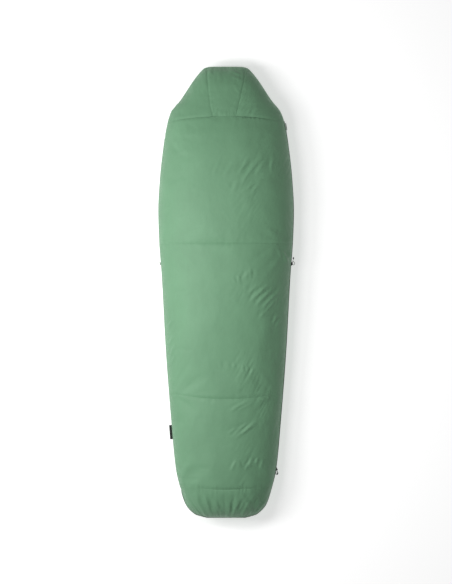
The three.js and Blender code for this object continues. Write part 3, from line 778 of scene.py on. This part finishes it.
def simulated_billow(rows):
    """Offsets of the coarse cloth after it swells against its seams, on every second row and column."""
    coarse = rows[::SIM_STRIDE]
    points = joined_wall(coarse, COLUMNS)[:, ::SIM_STRIDE]
    count_rows, count_columns = points.shape[:2]
    data = bpy.data.meshes.new("cloth_work")
    faces = grid_faces(count_rows, count_columns)
    data.from_pydata([tuple(p) for p in points.reshape(-1, 3)], [], [tuple(f) for f in faces])
    cloth = link_object("cloth_work", data)
    pinned = np.zeros((count_rows, count_columns), bool)
    pinned[:, [0, 1, -2, -1]] = True
    pinned[coarse[:, 1] < PINNED_CLOSURE] = True
    for stitch in STITCH_YS:
        pinned[np.argmin(np.abs(coarse[:, 0] - stitch))] = True
    for column in hood_seam_columns():
        pinned[coarse[:, 0] > NECK_Y, column // SIM_STRIDE] = True
    group = cloth.vertex_groups.new(name="pin")
    group.add([int(k) for k in np.flatnonzero(pinned.ravel())], 1.0, "REPLACE")
    modifier = cloth.modifiers.new("Cloth", "CLOTH")
    settings = modifier.settings
    settings.vertex_group_mass = "pin"
    settings.quality = 4
    settings.mass = 0.2
    settings.tension_stiffness = 12
    settings.compression_stiffness = 12
    settings.shear_stiffness = 6
    settings.bending_stiffness = 0.05
    settings.shrink_min = -0.012
    settings.use_pressure = True
    settings.uniform_pressure_force = 1.2
    settings.effector_weights.gravity = 0
    modifier.point_cache.frame_start = 1
    modifier.point_cache.frame_end = SIM_FRAMES
    for step in range(1, SIM_FRAMES + 1):
        bpy.context.scene.frame_set(step)
    evaluated = cloth.evaluated_get(bpy.context.evaluated_depsgraph_get())
    places = np.empty(3 * len(evaluated.data.vertices))
    evaluated.data.vertices.foreach_get("co", places)
    bpy.context.scene.frame_set(1)
    bpy.data.objects.remove(cloth)
    outward = outward_normals(points, True)
    swell = ((places.reshape(points.shape) - points) * outward).sum(axis=2, keepdims=True)
    return outward * np.clip(BILLOW_SHARE * swell, -HOLLOW_LIMIT, BILLOW_LIMIT)


def hood_seam_columns():
    """The columns that run along the hood's left and right seams."""
    c = np.linspace(-1, 1, COLUMNS)
    return [int(np.argmin(np.abs(c - side * HOOD_SEAM_SHARE))) for side in (-1, 1)]


def joined_wall(rows, columns):
    """The upper wall from foot to crown: the hood's rows are warped to its seams."""
    plain = wall(rows, True, 0.0, columns=columns)
    hooded = wall(rows, True, 0.0, columns=columns, hood=True)
    share = smooth_step(rows[:, 0], NECK_Y - 0.0001, NECK_Y)[:, None, None]
    return plain * (1 - share) + hooded * share


def spread_offsets(offsets, count_rows, count_columns):
    """Carries coarse offsets to the fine grid, smoothly."""
    at_rows = np.arange(count_rows) / SIM_STRIDE
    at_columns = np.arange(count_columns) / SIM_STRIDE

    def stretch(values, at):
        low = np.clip(np.floor(at).astype(int), 0, len(values) - 1)
        high = np.clip(low + 1, 0, len(values) - 1)
        share = (at - low).reshape(-1, 1, 1)
        return values[low] * (1 - share) + values[high] * share

    fine = stretch(offsets, at_rows)
    fine = stretch(fine.transpose(1, 0, 2), at_columns).transpose(1, 0, 2)
    for _ in range(2):
        padded_rows = np.pad(fine, ((1, 1), (0, 0), (0, 0)), "edge")
        fine = (padded_rows[:-2] + 2 * fine + padded_rows[2:]) / 4
        padded_columns = np.pad(fine, ((0, 0), (1, 1), (0, 0)), "edge")
        fine = (padded_columns[:, :-2] + 2 * fine + padded_columns[:, 2:]) / 4
    return fine


# ---------------------------------------------------------------- pieces of the cover and of the hood's underside
cover_pieces = []
under_pieces = []


def turns_with_cover(piece):
    """Bakes the piece's place in the frame into its mesh.
    """
    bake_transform(piece)


# ---------------------------------------------------------------- back of the bag and hood
STITCH_MARGIN = 3  # columns without stitches at each end of a line
GROUND_CLEARANCE = 0.0003
BATT_COLUMNS = 81
BATT_TRIM = 4  # columns left out beside each side seam
BATT_CLOSURE = 0.35  # how far the ends have closed where the filling stops


def batt_slab(name, rows, upper, node):
    """Filling between the shell and the lining, short of the side seams and of the closing ends."""
    few = rows[np.unique(np.linspace(0, len(rows) - 1, max(6, len(rows) // 3)).astype(int))]
    few = few[few[:, 1] > BATT_CLOSURE]
    grids = [wall(few, upper, depth, columns=BATT_COLUMNS, gap=BATT_GAP) for depth in BATT_DEPTHS]
    grids = [grid[:, BATT_TRIM:-BATT_TRIM] for grid in grids]
    piece = slab_piece(name, *grids, "batt")
    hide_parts(node)
    return piece


def make_back():
    """Cloth and filling of everything above the side seams."""
    all_rows = np.vstack([UPPER_SECTIONS[0][1]] + [rows[1:] for _, rows in UPPER_SECTIONS[1:]])
    points = joined_wall(all_rows, COLUMNS)
    fade = edge_fade(points, all_rows[:, 1])[..., None]
    relief = upper_relief(points, all_rows)[..., None] * outward_normals(points, True)
    offsets = simulated_billow(all_rows)
    relief = relief + spread_offsets(offsets, *points.shape[:2])
    points = points + fade * relief
    first = 0
    stitch_lines = []
    surface = outward_normals(points, True)
    for section, rows in UPPER_SECTIONS:
        last = first + len(rows) - 1
        batt_node = "hood_batt" if section == "hood" else f"cover_batt_{section}"
        batt = batt_slab(f"batt_{section}", rows, True, batt_node)
        cover_pieces.append(batt)
        panels = {f"cover_shell_{section}": (0, COLUMNS - 1)}
        if section == "hood":
            left, right = hood_seam_columns()
            panels = {
                "hood_shell_left": (0, left),
                "hood_shell_centre": (left, right),
                "hood_shell_right": (right, COLUMNS - 1),
            }
            for column in (left, right):
                run = slice(first + 2, last - END_STEPS // 3)
                stitch_lines.append((points[run, column + 1], surface[run, column + 1]))
        else:
            run = slice(STITCH_MARGIN, -STITCH_MARGIN)
            stitch_lines.append((points[last - 1, run], surface[last - 1, run]))
        for node, (low, high) in panels.items():
            panel = points[first : last + 1, low : high + 1]
            shell = grid_piece(f"cloth_{node}", panel, "shell")
            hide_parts(node)
            cover_pieces.append(shell)
        first = last
    cover_pieces.append(stitch_mesh("stitches_back", stitch_lines))


make_back()


# ---------------------------------------------------------------- front of the bag
FRONT_ROWS = straight_rows(FOOT_STITCH_Y, NECK_Y, 2 * ROW_STEP)
FRONT_COLUMNS = 3 * COLUMNS // 4


def lower_cloth(rows, columns):
    """The shell on the ground side, kept just clear of the ground."""
    points = wall(rows, False, 0.0, columns=columns)
    fade = edge_fade(points, rows[:, 1])
    points = points + (lower_relief(points) * fade)[..., None] * outward_normals(points, False)
    points[..., 2] = np.maximum(points[..., 2], GROUND_CLEARANCE)
    return points


def make_front():
    """Cloth and filling of everything below the side seams, short of the neck."""
    foot_rows, *body_rows = [rows for _, rows in UPPER_SECTIONS[:-1]]
    sections = [
        ("foot", foot_rows, {"foot": foot_rows}),
        ("body", FRONT_ROWS, dict(zip(("lower", "middle", "upper"), body_rows))),
    ]
    stitch_lines = []
    for section, rows, batts in sections:
        for part, batt_rows in batts.items():
            batt = batt_slab(f"batt_front_{part}", batt_rows, False, f"base_batt_{part}")
            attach(batt, "base")
        points = lower_cloth(rows, FRONT_COLUMNS)
        shell = grid_piece(f"cloth_base_shell_{section}", points, "shell", flip=True)
        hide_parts(f"base_shell_{section}")
        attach(shell, "base")
        surface = outward_normals(points, False)
        if section == "body":
            for stitch in STITCH_YS[:-1]:
                row = min(int(np.argmin(np.abs(rows[:, 0] - stitch))) + 1, len(rows) - 1)
                run = slice(STITCH_MARGIN, -STITCH_MARGIN)
                stitch_lines.append((points[row, run] + [0, 0, GROUND_CLEARANCE], surface[row, run]))
    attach(stitch_mesh("stitches_front", stitch_lines), "base")


make_front()


# ---------------------------------------------------------------- linings and inner edges
RETURN_STEPS = 7
BODY_ROWS = np.vstack([FOOT_END[:-1], straight_rows(-HALF_LENGTH + FOOT_ROUNDING, NECK_Y, 2 * ROW_STEP)])


def lining_cloth(rows, upper, columns=FRONT_COLUMNS):
    """The inside cloth, a little loose between its stitch lines."""
    points = wall(rows, upper, LINING_DEPTH, columns=columns)
    x, y = plan(points)
    relief = waves(x, y, LINING_WAVES) - 0.0016
    for stitch in STITCH_YS:
        relief += 0.0016 * bell(y - stitch, 0.006)
    beside_seam = smooth_step(np.abs(points[..., 2] - SEAM_Z), 0.002, 0.030)
    fade = beside_seam * smooth_step(rows[:, 1], 0, 0.4)[:, None]
    return points + (relief * fade)[..., None] * outward_normals(points, upper)


def make_lining(name, node, rows, upper):
    points = lining_cloth(rows, upper)
    piece = grid_piece(name, points, "lining", flip=upper)
    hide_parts(node)
    return piece


def edge_strip(name, rows, upper):
    """Cloth that turns in from the outside to the lining round the opening edge."""
    rings = []
    for depth in np.linspace(0, LINING_DEPTH, RETURN_STEPS):
        grid = wall(rows, upper, depth, columns=FRONT_COLUMNS)
        rings.append(np.vstack([grid[::-1, -1], grid[0, -2:0:-1], grid[:, 0]]))
    points = np.stack(rings, axis=1)
    sink = 0.0020 * np.sin(np.linspace(0, math.pi, RETURN_STEPS))
    points[..., 2] += sink if upper else -sink
    return grid_piece(name, points, "shell", flip=not upper)


cover_pieces.append(make_lining("lining_back", "cover_lining", BODY_ROWS, True))
cover_pieces.append(make_lining("lining_hood", "hood_lining", UPPER_SECTIONS[-1][1], True))
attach(make_lining("lining_front", "base_lining", BODY_ROWS, False), "base")
cover_pieces.append(edge_strip("edge_back", BODY_ROWS, True))
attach(edge_strip("edge_front", BODY_ROWS, False), "base")


def make_neck_hem():
    """Rolled and puckered hem across the top of the front panel."""
    row = single_row(NECK_Y)
    depths = np.linspace(0, LINING_DEPTH, 12)
    grid = np.concatenate([wall(row, False, depth, columns=FRONT_COLUMNS) for depth in depths])
    swell = np.sin(np.linspace(0, math.pi, len(depths)))[:, None] ** 0.6
    puckers = 0.75 + 0.25 * flat_noise(grid[..., 0], grid[..., 2], 90, 10, 31)
    grid[..., 1] += 0.0043 * swell * puckers
    hem = grid_piece("hem_neck", grid, "shell")
    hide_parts("neck_hem")
    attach(hem, "base")
    lines = [(grid[1, 2:-2], np.tile([0.0, 0.6, -0.8], (FRONT_COLUMNS - 4, 1)))]
    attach(stitch_mesh("stitches_hem", lines), "base")


make_neck_hem()


# ---------------------------------------------------------------- underside of the hood
FACE_MIDDLE_Y = 0.86
FACE_EDGE_POINTS = 120
EDGE_RINGS = 8
CLOTH_THICKNESS = 0.0004


def snap_to_face_opening(points):
    """Moves the points that border the face opening onto its edge, and says which faces stay."""
    x, y = plan(points)
    reach = np.where(y > BROW_Y, np.hypot(x, y - BROW_Y), np.abs(x))
    inside = reach < FACE_HALF_WIDTH
    keep = ~(inside[:-1, :-1] & inside[1:, :-1] & inside[:-1, 1:] & inside[1:, 1:])
    scale = np.where(inside, FACE_HALF_WIDTH / np.maximum(reach, 1e-6), 1.0)
    snapped = points.copy()
    snapped[..., 0] = MIDDLE_X + x * scale
    snapped[..., 1] = MIDDLE_Y + np.where(y > BROW_Y, BROW_Y + (y - BROW_Y) * scale, y)
    return snapped, keep


def face_edge(depth):
    """Points of the face opening's edge at a depth, from the left cheek over the brow to the right."""
    straight = BROW_Y - UNDER_HOOD_Y
    arc = math.pi * FACE_HALF_WIDTH
    at = np.linspace(0, 2 * straight + arc, FACE_EDGE_POINTS)
    angle = np.clip((at - straight) / FACE_HALF_WIDTH, 0, math.pi)
    x = -FACE_HALF_WIDTH * np.cos(angle)
    past = np.maximum(at - straight - arc, 0)
    y = np.where(at < straight, UNDER_HOOD_Y + at, BROW_Y + FACE_HALF_WIDTH * np.sin(angle) - past)
    return in_frame(x, y, depth)


def crown_lift(points):
    """Height that the closing crown adds to the flat underside there."""
    _, y = plan(points)
    progress = np.clip((y - (HALF_LENGTH - HEAD_ROUNDING)) / HEAD_ROUNDING, 0, 1)
    closure = (1 - progress**END_ROUNDNESS) ** (1 / END_ROUNDNESS)
    return (SEAM_Z - points[..., 2]) * (1 - closure)


def make_hood_underside():
    """Cloth, lining and filling under the hood, and the cloth that joins them round their edges."""
    rows = np.vstack([straight_rows(UNDER_HOOD_Y, HALF_LENGTH - HEAD_ROUNDING), HEAD_END[1:]])
    cloth_points, keep = snap_to_face_opening(lower_cloth(rows, COLUMNS))
    shell = grid_piece("cloth_hood_shell_under", cloth_points, "shell", flip=True, keep=keep)
    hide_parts("hood_shell_under")
    lining_points, keep = snap_to_face_opening(lining_cloth(rows, False, COLUMNS))
    lining = grid_piece("lining_hood_under", lining_points, "lining", keep=keep)
    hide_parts("hood_lining_under")
    for piece in (shell, lining):
        bpy.context.view_layer.update()
    batt_rows = rows[2::4]
    batt_points = [wall(batt_rows, False, depth, columns=BATT_COLUMNS, gap=BATT_GAP) for depth in BATT_DEPTHS]
    kept = [batt_ring(grid) for grid in batt_points]
    batt = slab_piece("batt_hood_under", *kept, "batt")
    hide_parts("hood_batt_under")
    edges = []
    for share in np.linspace(0, 1, EDGE_RINGS):
        ring = face_edge(CLOTH_THICKNESS + share * (LINING_DEPTH - CLOTH_THICKNESS))
        ring[:, 2] += crown_lift(ring)
        inward = np.array([MIDDLE_X, MIDDLE_Y + FACE_MIDDLE_Y, 0]) - ring
        inward[:, 2] = 0
        inward /= np.linalg.norm(inward, axis=1, keepdims=True)
        edges.append(ring + inward * CLOTH_THICKNESS * math.sin(share * math.pi))
    rim = grid_piece("edge_face", np.stack(edges, axis=1), "shell")
    neck_row = single_row(UNDER_HOOD_Y)
    depths = np.linspace(CLOTH_THICKNESS, LINING_DEPTH, EDGE_RINGS)
    grid = np.concatenate([wall(neck_row, False, depth, columns=COLUMNS) for depth in depths])
    outside = np.abs(grid[0, :, 0] - MIDDLE_X) > FACE_HALF_WIDTH
    left = grid[:, : int(np.argmin(outside)) + 1]
    right = grid[:, len(outside) - int(np.argmin(outside[::-1])) - 1 :]
    cheeks = []
    for name, side, part in (("left", -1, left), ("right", 1, right)):
        part = part.copy()
        inner = -1 if side < 0 else 0
        part[:, inner, 0] = MIDDLE_X + side * FACE_HALF_WIDTH
        cheeks.append(grid_piece(f"edge_cheek_{name}", part, "shell", flip=True))
    under_pieces.extend([shell, lining, batt, rim, *cheeks])


def batt_ring(grid):
    """The batt's grid bent round the face opening: its middle columns move out to the edge."""
    x, y = plan(grid)
    clear = FACE_HALF_WIDTH + 0.004
    ring = grid.copy()
    inside_low = (np.abs(x) < clear) & (y <= BROW_Y)
    reach = np.hypot(x, y - BROW_Y)
    inside_high = (reach < clear) & (y > BROW_Y)
    round_edge = MIDDLE_Y + BROW_Y + np.sqrt(np.maximum(clear**2 - x**2, 0))
    ring[..., 1] = np.where(inside_low | inside_high, round_edge, grid[..., 1])
    return ring


make_hood_underside()


# ---------------------------------------------------------------- hood edge, drawcord and cord lock
TUNNEL_RADIUS = 0.0065
TUNNEL_Z = 0.008
TUNNEL_X = FACE_HALF_WIDTH - TUNNEL_RADIUS - 0.0006
TUNNEL_ENDS = (0.800, 0.846)  # the right one leaves room for the cord lock
DRAWCORD_ENDS = (0.802, 0.808)
DRAWCORD_RADIUS = 0.0015


def hood_edge_path(left_y, right_y):
    """Route of the hood's edge from one cheek over the brow to the other."""
    angle = np.linspace(math.pi, 0, 60)
    xs = np.concatenate([[-TUNNEL_X], TUNNEL_X * np.cos(angle), [TUNNEL_X]])
    ys = np.concatenate([[left_y], BROW_Y + TUNNEL_X * np.sin(angle), [right_y]])
    return resampled(in_frame(xs, ys, TUNNEL_Z), 0.0025)


def round_profile(radius, sides=14):
    angle = np.arange(sides) * 2 * math.pi / sides
    return [(radius * math.cos(a), radius * math.sin(a)) for a in angle]


def make_hood_edge():
    """Gathered tunnel round the face opening, with the drawcord inside it."""
    path, tangents = hood_edge_path(*TUNNEL_ENDS)
    ups = upright(path)
    sides = np.cross(tangents, ups)
    tunnel = swept("hem_hood_edge", path, sides, ups, round_profile(TUNNEL_RADIUS), "shell")
    pucker_along(tunnel, path, 0.0007, 160, 41)
    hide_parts("hood_edge_tunnel")
    cord_path, cord_tangents = hood_edge_path(*DRAWCORD_ENDS)
    cord_ups = upright(cord_path)
    cord_sides = np.cross(cord_tangents, cord_ups)
    drawcord = swept("drawcord", cord_path, cord_sides, cord_ups, round_profile(DRAWCORD_RADIUS, 10), "cord")
    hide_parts("hood_drawcord")
    seam = path + sides * TUNNEL_RADIUS * 0.72 - ups * TUNNEL_RADIUS * 0.70
    stitches = stitch_mesh("stitches_hood_edge", [(seam, sides * 0.7 - ups * 0.7)])
    under_pieces.extend([tunnel, drawcord, stitches])


def pucker_along(piece, path, height, per_metre, seed):
    """Small gathers round a tube, square to its run."""
    for vertex in piece.data.vertices:
        nearest = path[int(np.argmin(((path - np.array(vertex.co)) ** 2).sum(axis=1)))]
        outward = vertex.co - Vector(nearest)
        if outward.length < 1e-5:
            continue
        value = noise.noise(Vector((nearest[0] * per_metre, nearest[1] * per_metre, seed)))
        vertex.co = Vector(nearest) + outward * (1 + height * (value - 0.4) / outward.length)


make_hood_edge()


# ---------------------------------------------------------------- zip
def outline_path(step):
    """The zip's line down the +X side and round the foot, with outward directions."""
    near_y = np.linspace(ZIP_TOP_Y, -HALF_LENGTH, 1200)
    far_y = np.linspace(-HALF_LENGTH, ZIP_END_Y, 300)
    xs = np.concatenate([half_width(near_y), -half_width(far_y)])
    path, tangents = resampled(in_frame(xs, np.concatenate([near_y, far_y]), SEAM_Z), step)
    ups = upright(path)
    return path, np.cross(ups, tangents), ups


TAPE_INNER = 0.0029
TAPE_OUTER = 0.0116
TAPE_BACK = 0.0003
TAPE_FRONT = 0.0011
COIL_PROUD = 0.0022
TOOTH_PITCH = 0.0030


def tape_profile(sign):
    """Section of one tape with a rolled cord edge beside the teeth."""
    proud = COIL_PROUD - 0.0006
    rolled = [(TAPE_BACK, TAPE_INNER), (proud, TAPE_INNER), (proud, TAPE_INNER + 0.0012)]
    flat = [(TAPE_FRONT, TAPE_INNER + 0.0020), (TAPE_FRONT, TAPE_OUTER - 0.0006), (TAPE_BACK, TAPE_OUTER)]
    return [(outward, sign * upward) for outward, upward in rolled + flat]


def teeth(name, path, outward, sign):
    """Coil turns of one half of the zip: small rounded bars that reach over the middle."""
    vertices, faces = [], []
    shift = 0.5 if sign < 0 else 0.0
    places = np.arange(len(path) - 1)[::2]
    ring = [(0.0004, -0.0010), (0.0021, -0.0007), (0.0023, 0.0), (0.0021, 0.0007), (0.0004, 0.0010)]
    for k in places:
        along = path[k + 1] - path[k]
        centre = path[k] + along * 2 * shift
        tangent = along / np.linalg.norm(along)
        first = len(vertices)
        for height, narrow in ((0.00015, 0.7), (0.0016, 1.0), (0.0030, 0.8)):
            for out, side in ring:
                point = centre + outward[k] * out + tangent * side * narrow
                vertices.append(point + np.array([0, 0, sign * height]))
        size = len(ring)
        for layer in range(2):
            for j in range(size):
                after = (j + 1) % size
                a, b = first + layer * size + j, first + layer * size + after
                faces.append((a, b, b + size, a + size) if sign > 0 else (a + size, b + size, b, a))
        caps = [tuple(range(first, first + size)), tuple(range(first + 2 * size, first + 3 * size))]
        faces += [caps[0][::-1], caps[1]] if sign > 0 else [caps[0], caps[1][::-1]]
    return mesh_piece(name, vertices, faces, "coil")


def make_zip():
    """Tapes, teeth and stitches of both halves: the upper half belongs to the cover."""
    path, outward, ups = outline_path(0.006)
    fine_path, fine_outward, _ = outline_path(TOOTH_PITCH / 2)
    for half_name, sign in (("cover", 1), ("base", -1)):
        tape = swept(f"zip_tape_{half_name}", path, outward, ups, tape_profile(sign), "tape")
        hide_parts(f"{half_name}_zip_tape")
        coil = teeth(f"zip_teeth_{half_name}", fine_path, fine_outward, sign)
        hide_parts(f"{half_name}_zip_coil")
        seam = path + outward * (TAPE_FRONT + 0.0001) + ups * sign * (TAPE_OUTER - 0.0022)
        stitches = stitch_mesh(f"stitches_zip_{half_name}", [(seam, outward)], radius=0.00035)
        for piece in (tape, coil, stitches):
            if sign > 0:
                cover_pieces.append(piece)
            else:
                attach(piece, "base")


make_zip()


# ---------------------------------------------------------------- draft tube and side binding
DRAFT_RADIUS = 0.017
DRAFT_GAP = 0.008  # from the lining to the tube
DRAFT_TOP_Y = 0.740
DRAFT_FOOT_Y = -0.780
BINDING_TOP_Y = UPPER_STITCH_Y + 0.478


def make_draft_tube():
    """Filled roll inside the zip, which keeps draughts out."""
    ys = np.linspace(DRAFT_TOP_Y, DRAFT_FOOT_Y, 160)
    xs = half_width(ys) - (LINING_DEPTH + DRAFT_GAP + DRAFT_RADIUS)
    path, tangents = resampled(in_frame(xs, ys, SEAM_Z), 0.010)
    ups = upright(path)
    tube = swept("draft_roll", path, np.cross(ups, tangents), ups, round_profile(DRAFT_RADIUS, 16), "lining")
    pucker_along(tube, path, 0.003, 22, 51)
    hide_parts("draft_tube")
    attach(tube, "base")


def make_side_binding():
    """Narrow binding over the sewn seam of the closed side."""
    ys = np.linspace(BINDING_TOP_Y, FOOT_STITCH_Y, 300)
    path, tangents = resampled(in_frame(-half_width(ys), ys, SEAM_Z), 0.008)
    ups = upright(path)
    profile = [(0.0002, -0.0065), (0.0010, -0.0062), (0.0014, -0.0035), (0.0010, -0.0009), (0.0002, -0.0006)]
    binding = swept("binding_side", path, np.cross(tangents, ups), ups, profile, "shell")
    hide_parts("side_binding")
    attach(binding, "base")


make_draft_tube()
make_side_binding()


# ---------------------------------------------------------------- tag, guard tab and loop anchors
def soft_block(name, corners_low, corners_high, material, turn, place):
    """Box with rounded edges, turned about Z and set in place."""
    low, high = Vector(corners_low), Vector(corners_high)
    vertices = [(x, y, z) for z in (low.z, high.z) for y in (low.y, high.y) for x in (low.x, high.x)]
    faces = [(0, 2, 3, 1), (4, 5, 7, 6), (0, 1, 5, 4), (2, 6, 7, 3), (0, 4, 6, 2), (1, 3, 7, 5)]
    cosine, sine = math.cos(turn), math.sin(turn)
    turned = [
        (place[0] + x * cosine - y * sine, place[1] + x * sine + y * cosine, place[2] + z)
        for x, y, z in vertices
    ]
    piece = mesh_piece(name, turned, faces, material)
    rounding = piece.modifiers.new("rounding", "BEVEL")
    rounding.width = 0.0009
    rounding.segments = 3
    rounding.limit_method = "NONE"
    return piece


def make_tag():
    """Blank black tag: a folded strip sewn into the side seam."""
    top_y, length, reach = -0.605, 0.065, 0.013
    lean = math.atan2(float(half_width(top_y) - half_width(top_y - length)), length)
    top_layer = [(-0.0016, 0.0009), (-0.006, 0.0010), (-0.011, 0.0009)]
    fold = [(-reach, 0.0004), (-reach - 0.0002, 0.0), (-reach, -0.0004)]
    under_layer = [(-0.011, -0.0009), (-0.006, -0.0006), (-0.0016, -0.0005), (-0.0016, 0.0002)]
    profile = top_layer + fold + under_layer
    ys = np.linspace(-length, 0, 14)
    rings = []
    for y in ys:
        wave = 0.0007 * math.sin(y * 120) + 0.0004 * math.sin(y * 310 + 1)
        rings.append([(x, y, z + wave * abs(x) / reach) for x, z in profile])
    points = np.array(rings)
    cosine, sine = math.cos(lean), math.sin(lean)
    x = MIDDLE_X - float(half_width(top_y)) + points[..., 0] * cosine - points[..., 1] * sine
    y = MIDDLE_Y + top_y + points[..., 0] * sine + points[..., 1] * cosine
    placed = np.stack([x, y, SEAM_Z - 0.004 + points[..., 2]], axis=2)
    rows, columns = placed.shape[:2]
    faces = [tuple(face) for face in grid_faces(rows, columns, wrap=True)]
    faces += [tuple(range(columns))[::-1], tuple(range((rows - 1) * columns, rows * columns))]
    tag = outward_facing(mesh_piece("tag_side", placed.reshape(-1, 3), faces, "tag"))
    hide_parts("side_tag")
    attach(tag, "base")
    line = placed[1:-1, 1] + [0, 0, 0.0002]
    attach(stitch_mesh("stitches_tag", [(line, upright(line))]), "base")


def make_guard():
    """Soft tab over the top of the zip, with a stitched edge."""
    y, turn, size = 0.752, 0.19, (0.002, 0.032, 0.034)
    place = (MIDDLE_X + float(half_width(y)) + 0.004, MIDDLE_Y + y, SEAM_Z - size[2] / 2)
    low, high = (0, -size[1] / 2, 0), (size[0], size[1] / 2, size[2])
    tab = soft_block("tab_zip_guard", low, high, "shell", turn, place)
    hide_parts("zip_guard_tab")
    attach(tab, "zip_guard")
    inset = 0.003
    corners = [(-1, -1), (1, -1), (1, 1), (-1, 1), (-1, -1)]
    line = []
    for a, b in zip(corners, corners[1:]):
        for t in np.linspace(0, 1, 8)[:-1]:
            along = (a[0] + (b[0] - a[0]) * t) * (size[1] / 2 - inset)
            up = size[2] / 2 + (a[1] + (b[1] - a[1]) * t) * (size[2] / 2 - inset)
            line.append((
                place[0] + size[0] * math.cos(turn) - along * math.sin(turn),
                place[1] + size[0] * math.sin(turn) + along * math.cos(turn),
                place[2] + up,
            ))
    facing = np.tile([math.cos(turn), math.sin(turn), 0.0], (len(line), 1))
    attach(stitch_mesh("stitches_guard", [(np.array(line), facing)]), "zip_guard")


def make_anchor(name, y, side, z):
    """Folded patch that each cord loop is sewn into."""
    step = 0.01
    turn = math.atan2(float(half_width(y - step) - half_width(y + step)) * side, 2 * step)
    place = (MIDDLE_X + side * float(half_width(y)), MIDDLE_Y + y, z)
    low, high = ((0.0012, -0.005, -0.0022), (0.0042, 0.005, 0.0022))
    if side < 0:
        low, high = (-high[0], low[1], low[2]), (-low[0], high[1], high[2])
    patch = soft_block(f"anchor_{name}", low, high, "tape", turn, place)
    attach(patch, "base")


make_tag()
make_guard()
for loop_name, loop_y, loop_side, loop_z, _, _ in LOOPS:
    make_anchor(loop_name.replace("loop_", ""), loop_y, loop_side, loop_z)


# ---------------------------------------------------------------- pulls, sliders and cord lock
def dress(node, material, bevel):
    """Gives a CAD node its finish and softened edges."""
    piece = bpy.data.objects[node]
    piece.data.materials.clear()
    piece.data.materials.append(MATERIALS[material])
    softening = piece.modifiers.new("softening", "BEVEL")
    softening.width = bevel
    softening.segments = 2
    softening.limit_method = "ANGLE"
    softening.angle_limit = math.radians(40)


for node, material, bevel in (
    ("upper_slider_body", "metal", 0.0005), ("lower_slider_body", "metal", 0.0005),
    ("upper_slider_pull", "plastic", 0.0004), ("lower_slider_pull", "plastic", 0.0004),
    ("zip_top_stop", "metal", 0.0003), ("zip_end_box", "plastic", 0.0003),
    ("cord_lock_case", "plastic", 0.0004), ("cord_lock_button", "plastic", 0.0005),
):
    dress(node, material, bevel)


def make_spring():
    """Coil spring in the cord lock, made to fill the box of the CAD spring."""
    low, high = (np.array(corner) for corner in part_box("cord_lock_spring"))
    wire, turns, steps = 0.0003, 3, 96
    centre, radius, height = (low + high) / 2, (high[0] - low[0]) / 2 - wire, high[2] - low[2]
    angle = np.linspace(0, 2 * math.pi * turns, steps + 1)
    outward = np.stack([np.cos(angle), np.sin(angle), 0 * angle], axis=1)
    path = centre + outward * radius
    path[:, 2] = np.linspace(low[2] + wire, high[2] - wire, steps + 1)
    spring = swept("spring_cord_lock", path, outward, upright(path), round_profile(wire, 8), "metal")
    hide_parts("cord_lock_spring")
    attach(spring, "cord_lock")
    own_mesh(spring)


make_spring()


def bead(name, centre, radius, material, stretch):
    """Closed sphere, stretched along each axis."""
    steps, turns = 10, 16
    latitude = np.linspace(-math.pi / 2, math.pi / 2, steps + 1)[1:-1]
    longitude = np.arange(turns) * 2 * math.pi / turns
    grid = [
        (math.cos(a) * math.cos(b), math.cos(a) * math.sin(b), math.sin(a))
        for a in latitude
        for b in longitude
    ]
    vertices = np.array([*grid, (0, 0, -1), (0, 0, 1)]) * radius * np.array(stretch) + np.array(centre)
    faces = [tuple(face) for face in grid_faces(steps - 1, turns, wrap=True)]
    count = (steps - 1) * turns
    for j in range(turns):
        after = (j + 1) % turns
        faces.append((count, after, j))
        faces.append((count + 1, count - turns + j, count - turns + after))
    return outward_facing(mesh_piece(name, vertices, faces, material))


GRIP_RADIUS = 0.0036
GRIP_STRETCH = (0.95, 1.35, 1.2)


def make_grip(prefix):
    """Moulded bead on the free end of a slider's pull."""
    vertices = np.array([vertex.co for vertex in bpy.data.objects[f"{prefix}_slider_pull"].data.vertices])
    low, high = (np.array(corner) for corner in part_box(f"{prefix}_slider_body"))
    slider = (low + high) / 2
    distance = np.linalg.norm(vertices - slider, axis=1)
    end = vertices[distance > distance.max() - 0.002].mean(axis=0)
    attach(bead(f"grip_{prefix}_pull", end, GRIP_RADIUS, "plastic", GRIP_STRETCH), f"{prefix}_pull")


make_grip("upper")
make_grip("lower")


# ---------------------------------------------------------------- floor and light
def make_stage():
    """A pale floor and surround, with soft lights from the left and from above."""
    size = 30.0
    corners = [(-size, -size, 0), (size, -size, 0), (size, size, 0), (-size, size, 0)]
    data = bpy.data.meshes.new("floor")
    data.from_pydata(corners, [], [(0, 1, 2, 3)])
    floor = link_object("floor", data)
    material, _, shader = new_material("floor_white", (0.70, 0.70, 0.70), 0.9)
    white = (1, 1, 1, 1)
    set_inputs(shader, {"Specular IOR Level": 0.0, "Emission Color": white, "Emission Strength": 0.55})
    data.materials.append(material)
    world = bpy.data.worlds.new("world")
    world.use_nodes = True
    set_inputs(world.node_tree.nodes["Background"], {"Color": white, "Strength": 0.26})
    bpy.context.scene.world = world
    aim = (0, 0.05, 0.15)
    lamps = (
        ("key", (-2.4, 0.05, 2.4), 1.4, 75.0),
        ("top", (-0.6, 0.10, 1.9), 0.6, 14.5),
    )
    for name, place, width, power in lamps:
        light = bpy.data.lights.new(name, "AREA")
        light.shape = "SQUARE"
        light.size = width
        light.energy = power
        lamp = link_object(name, light)
        lamp.location = place
        lamp.rotation_euler = (Vector(aim) - Vector(place)).to_track_quat("-Z", "Y").to_euler()
    bpy.context.scene.view_settings.view_transform = "Standard"


for cover_piece in cover_pieces:
    turns_with_cover(cover_piece)
for under_piece in under_pieces:
    turns_with_cover(under_piece)
make_stage()
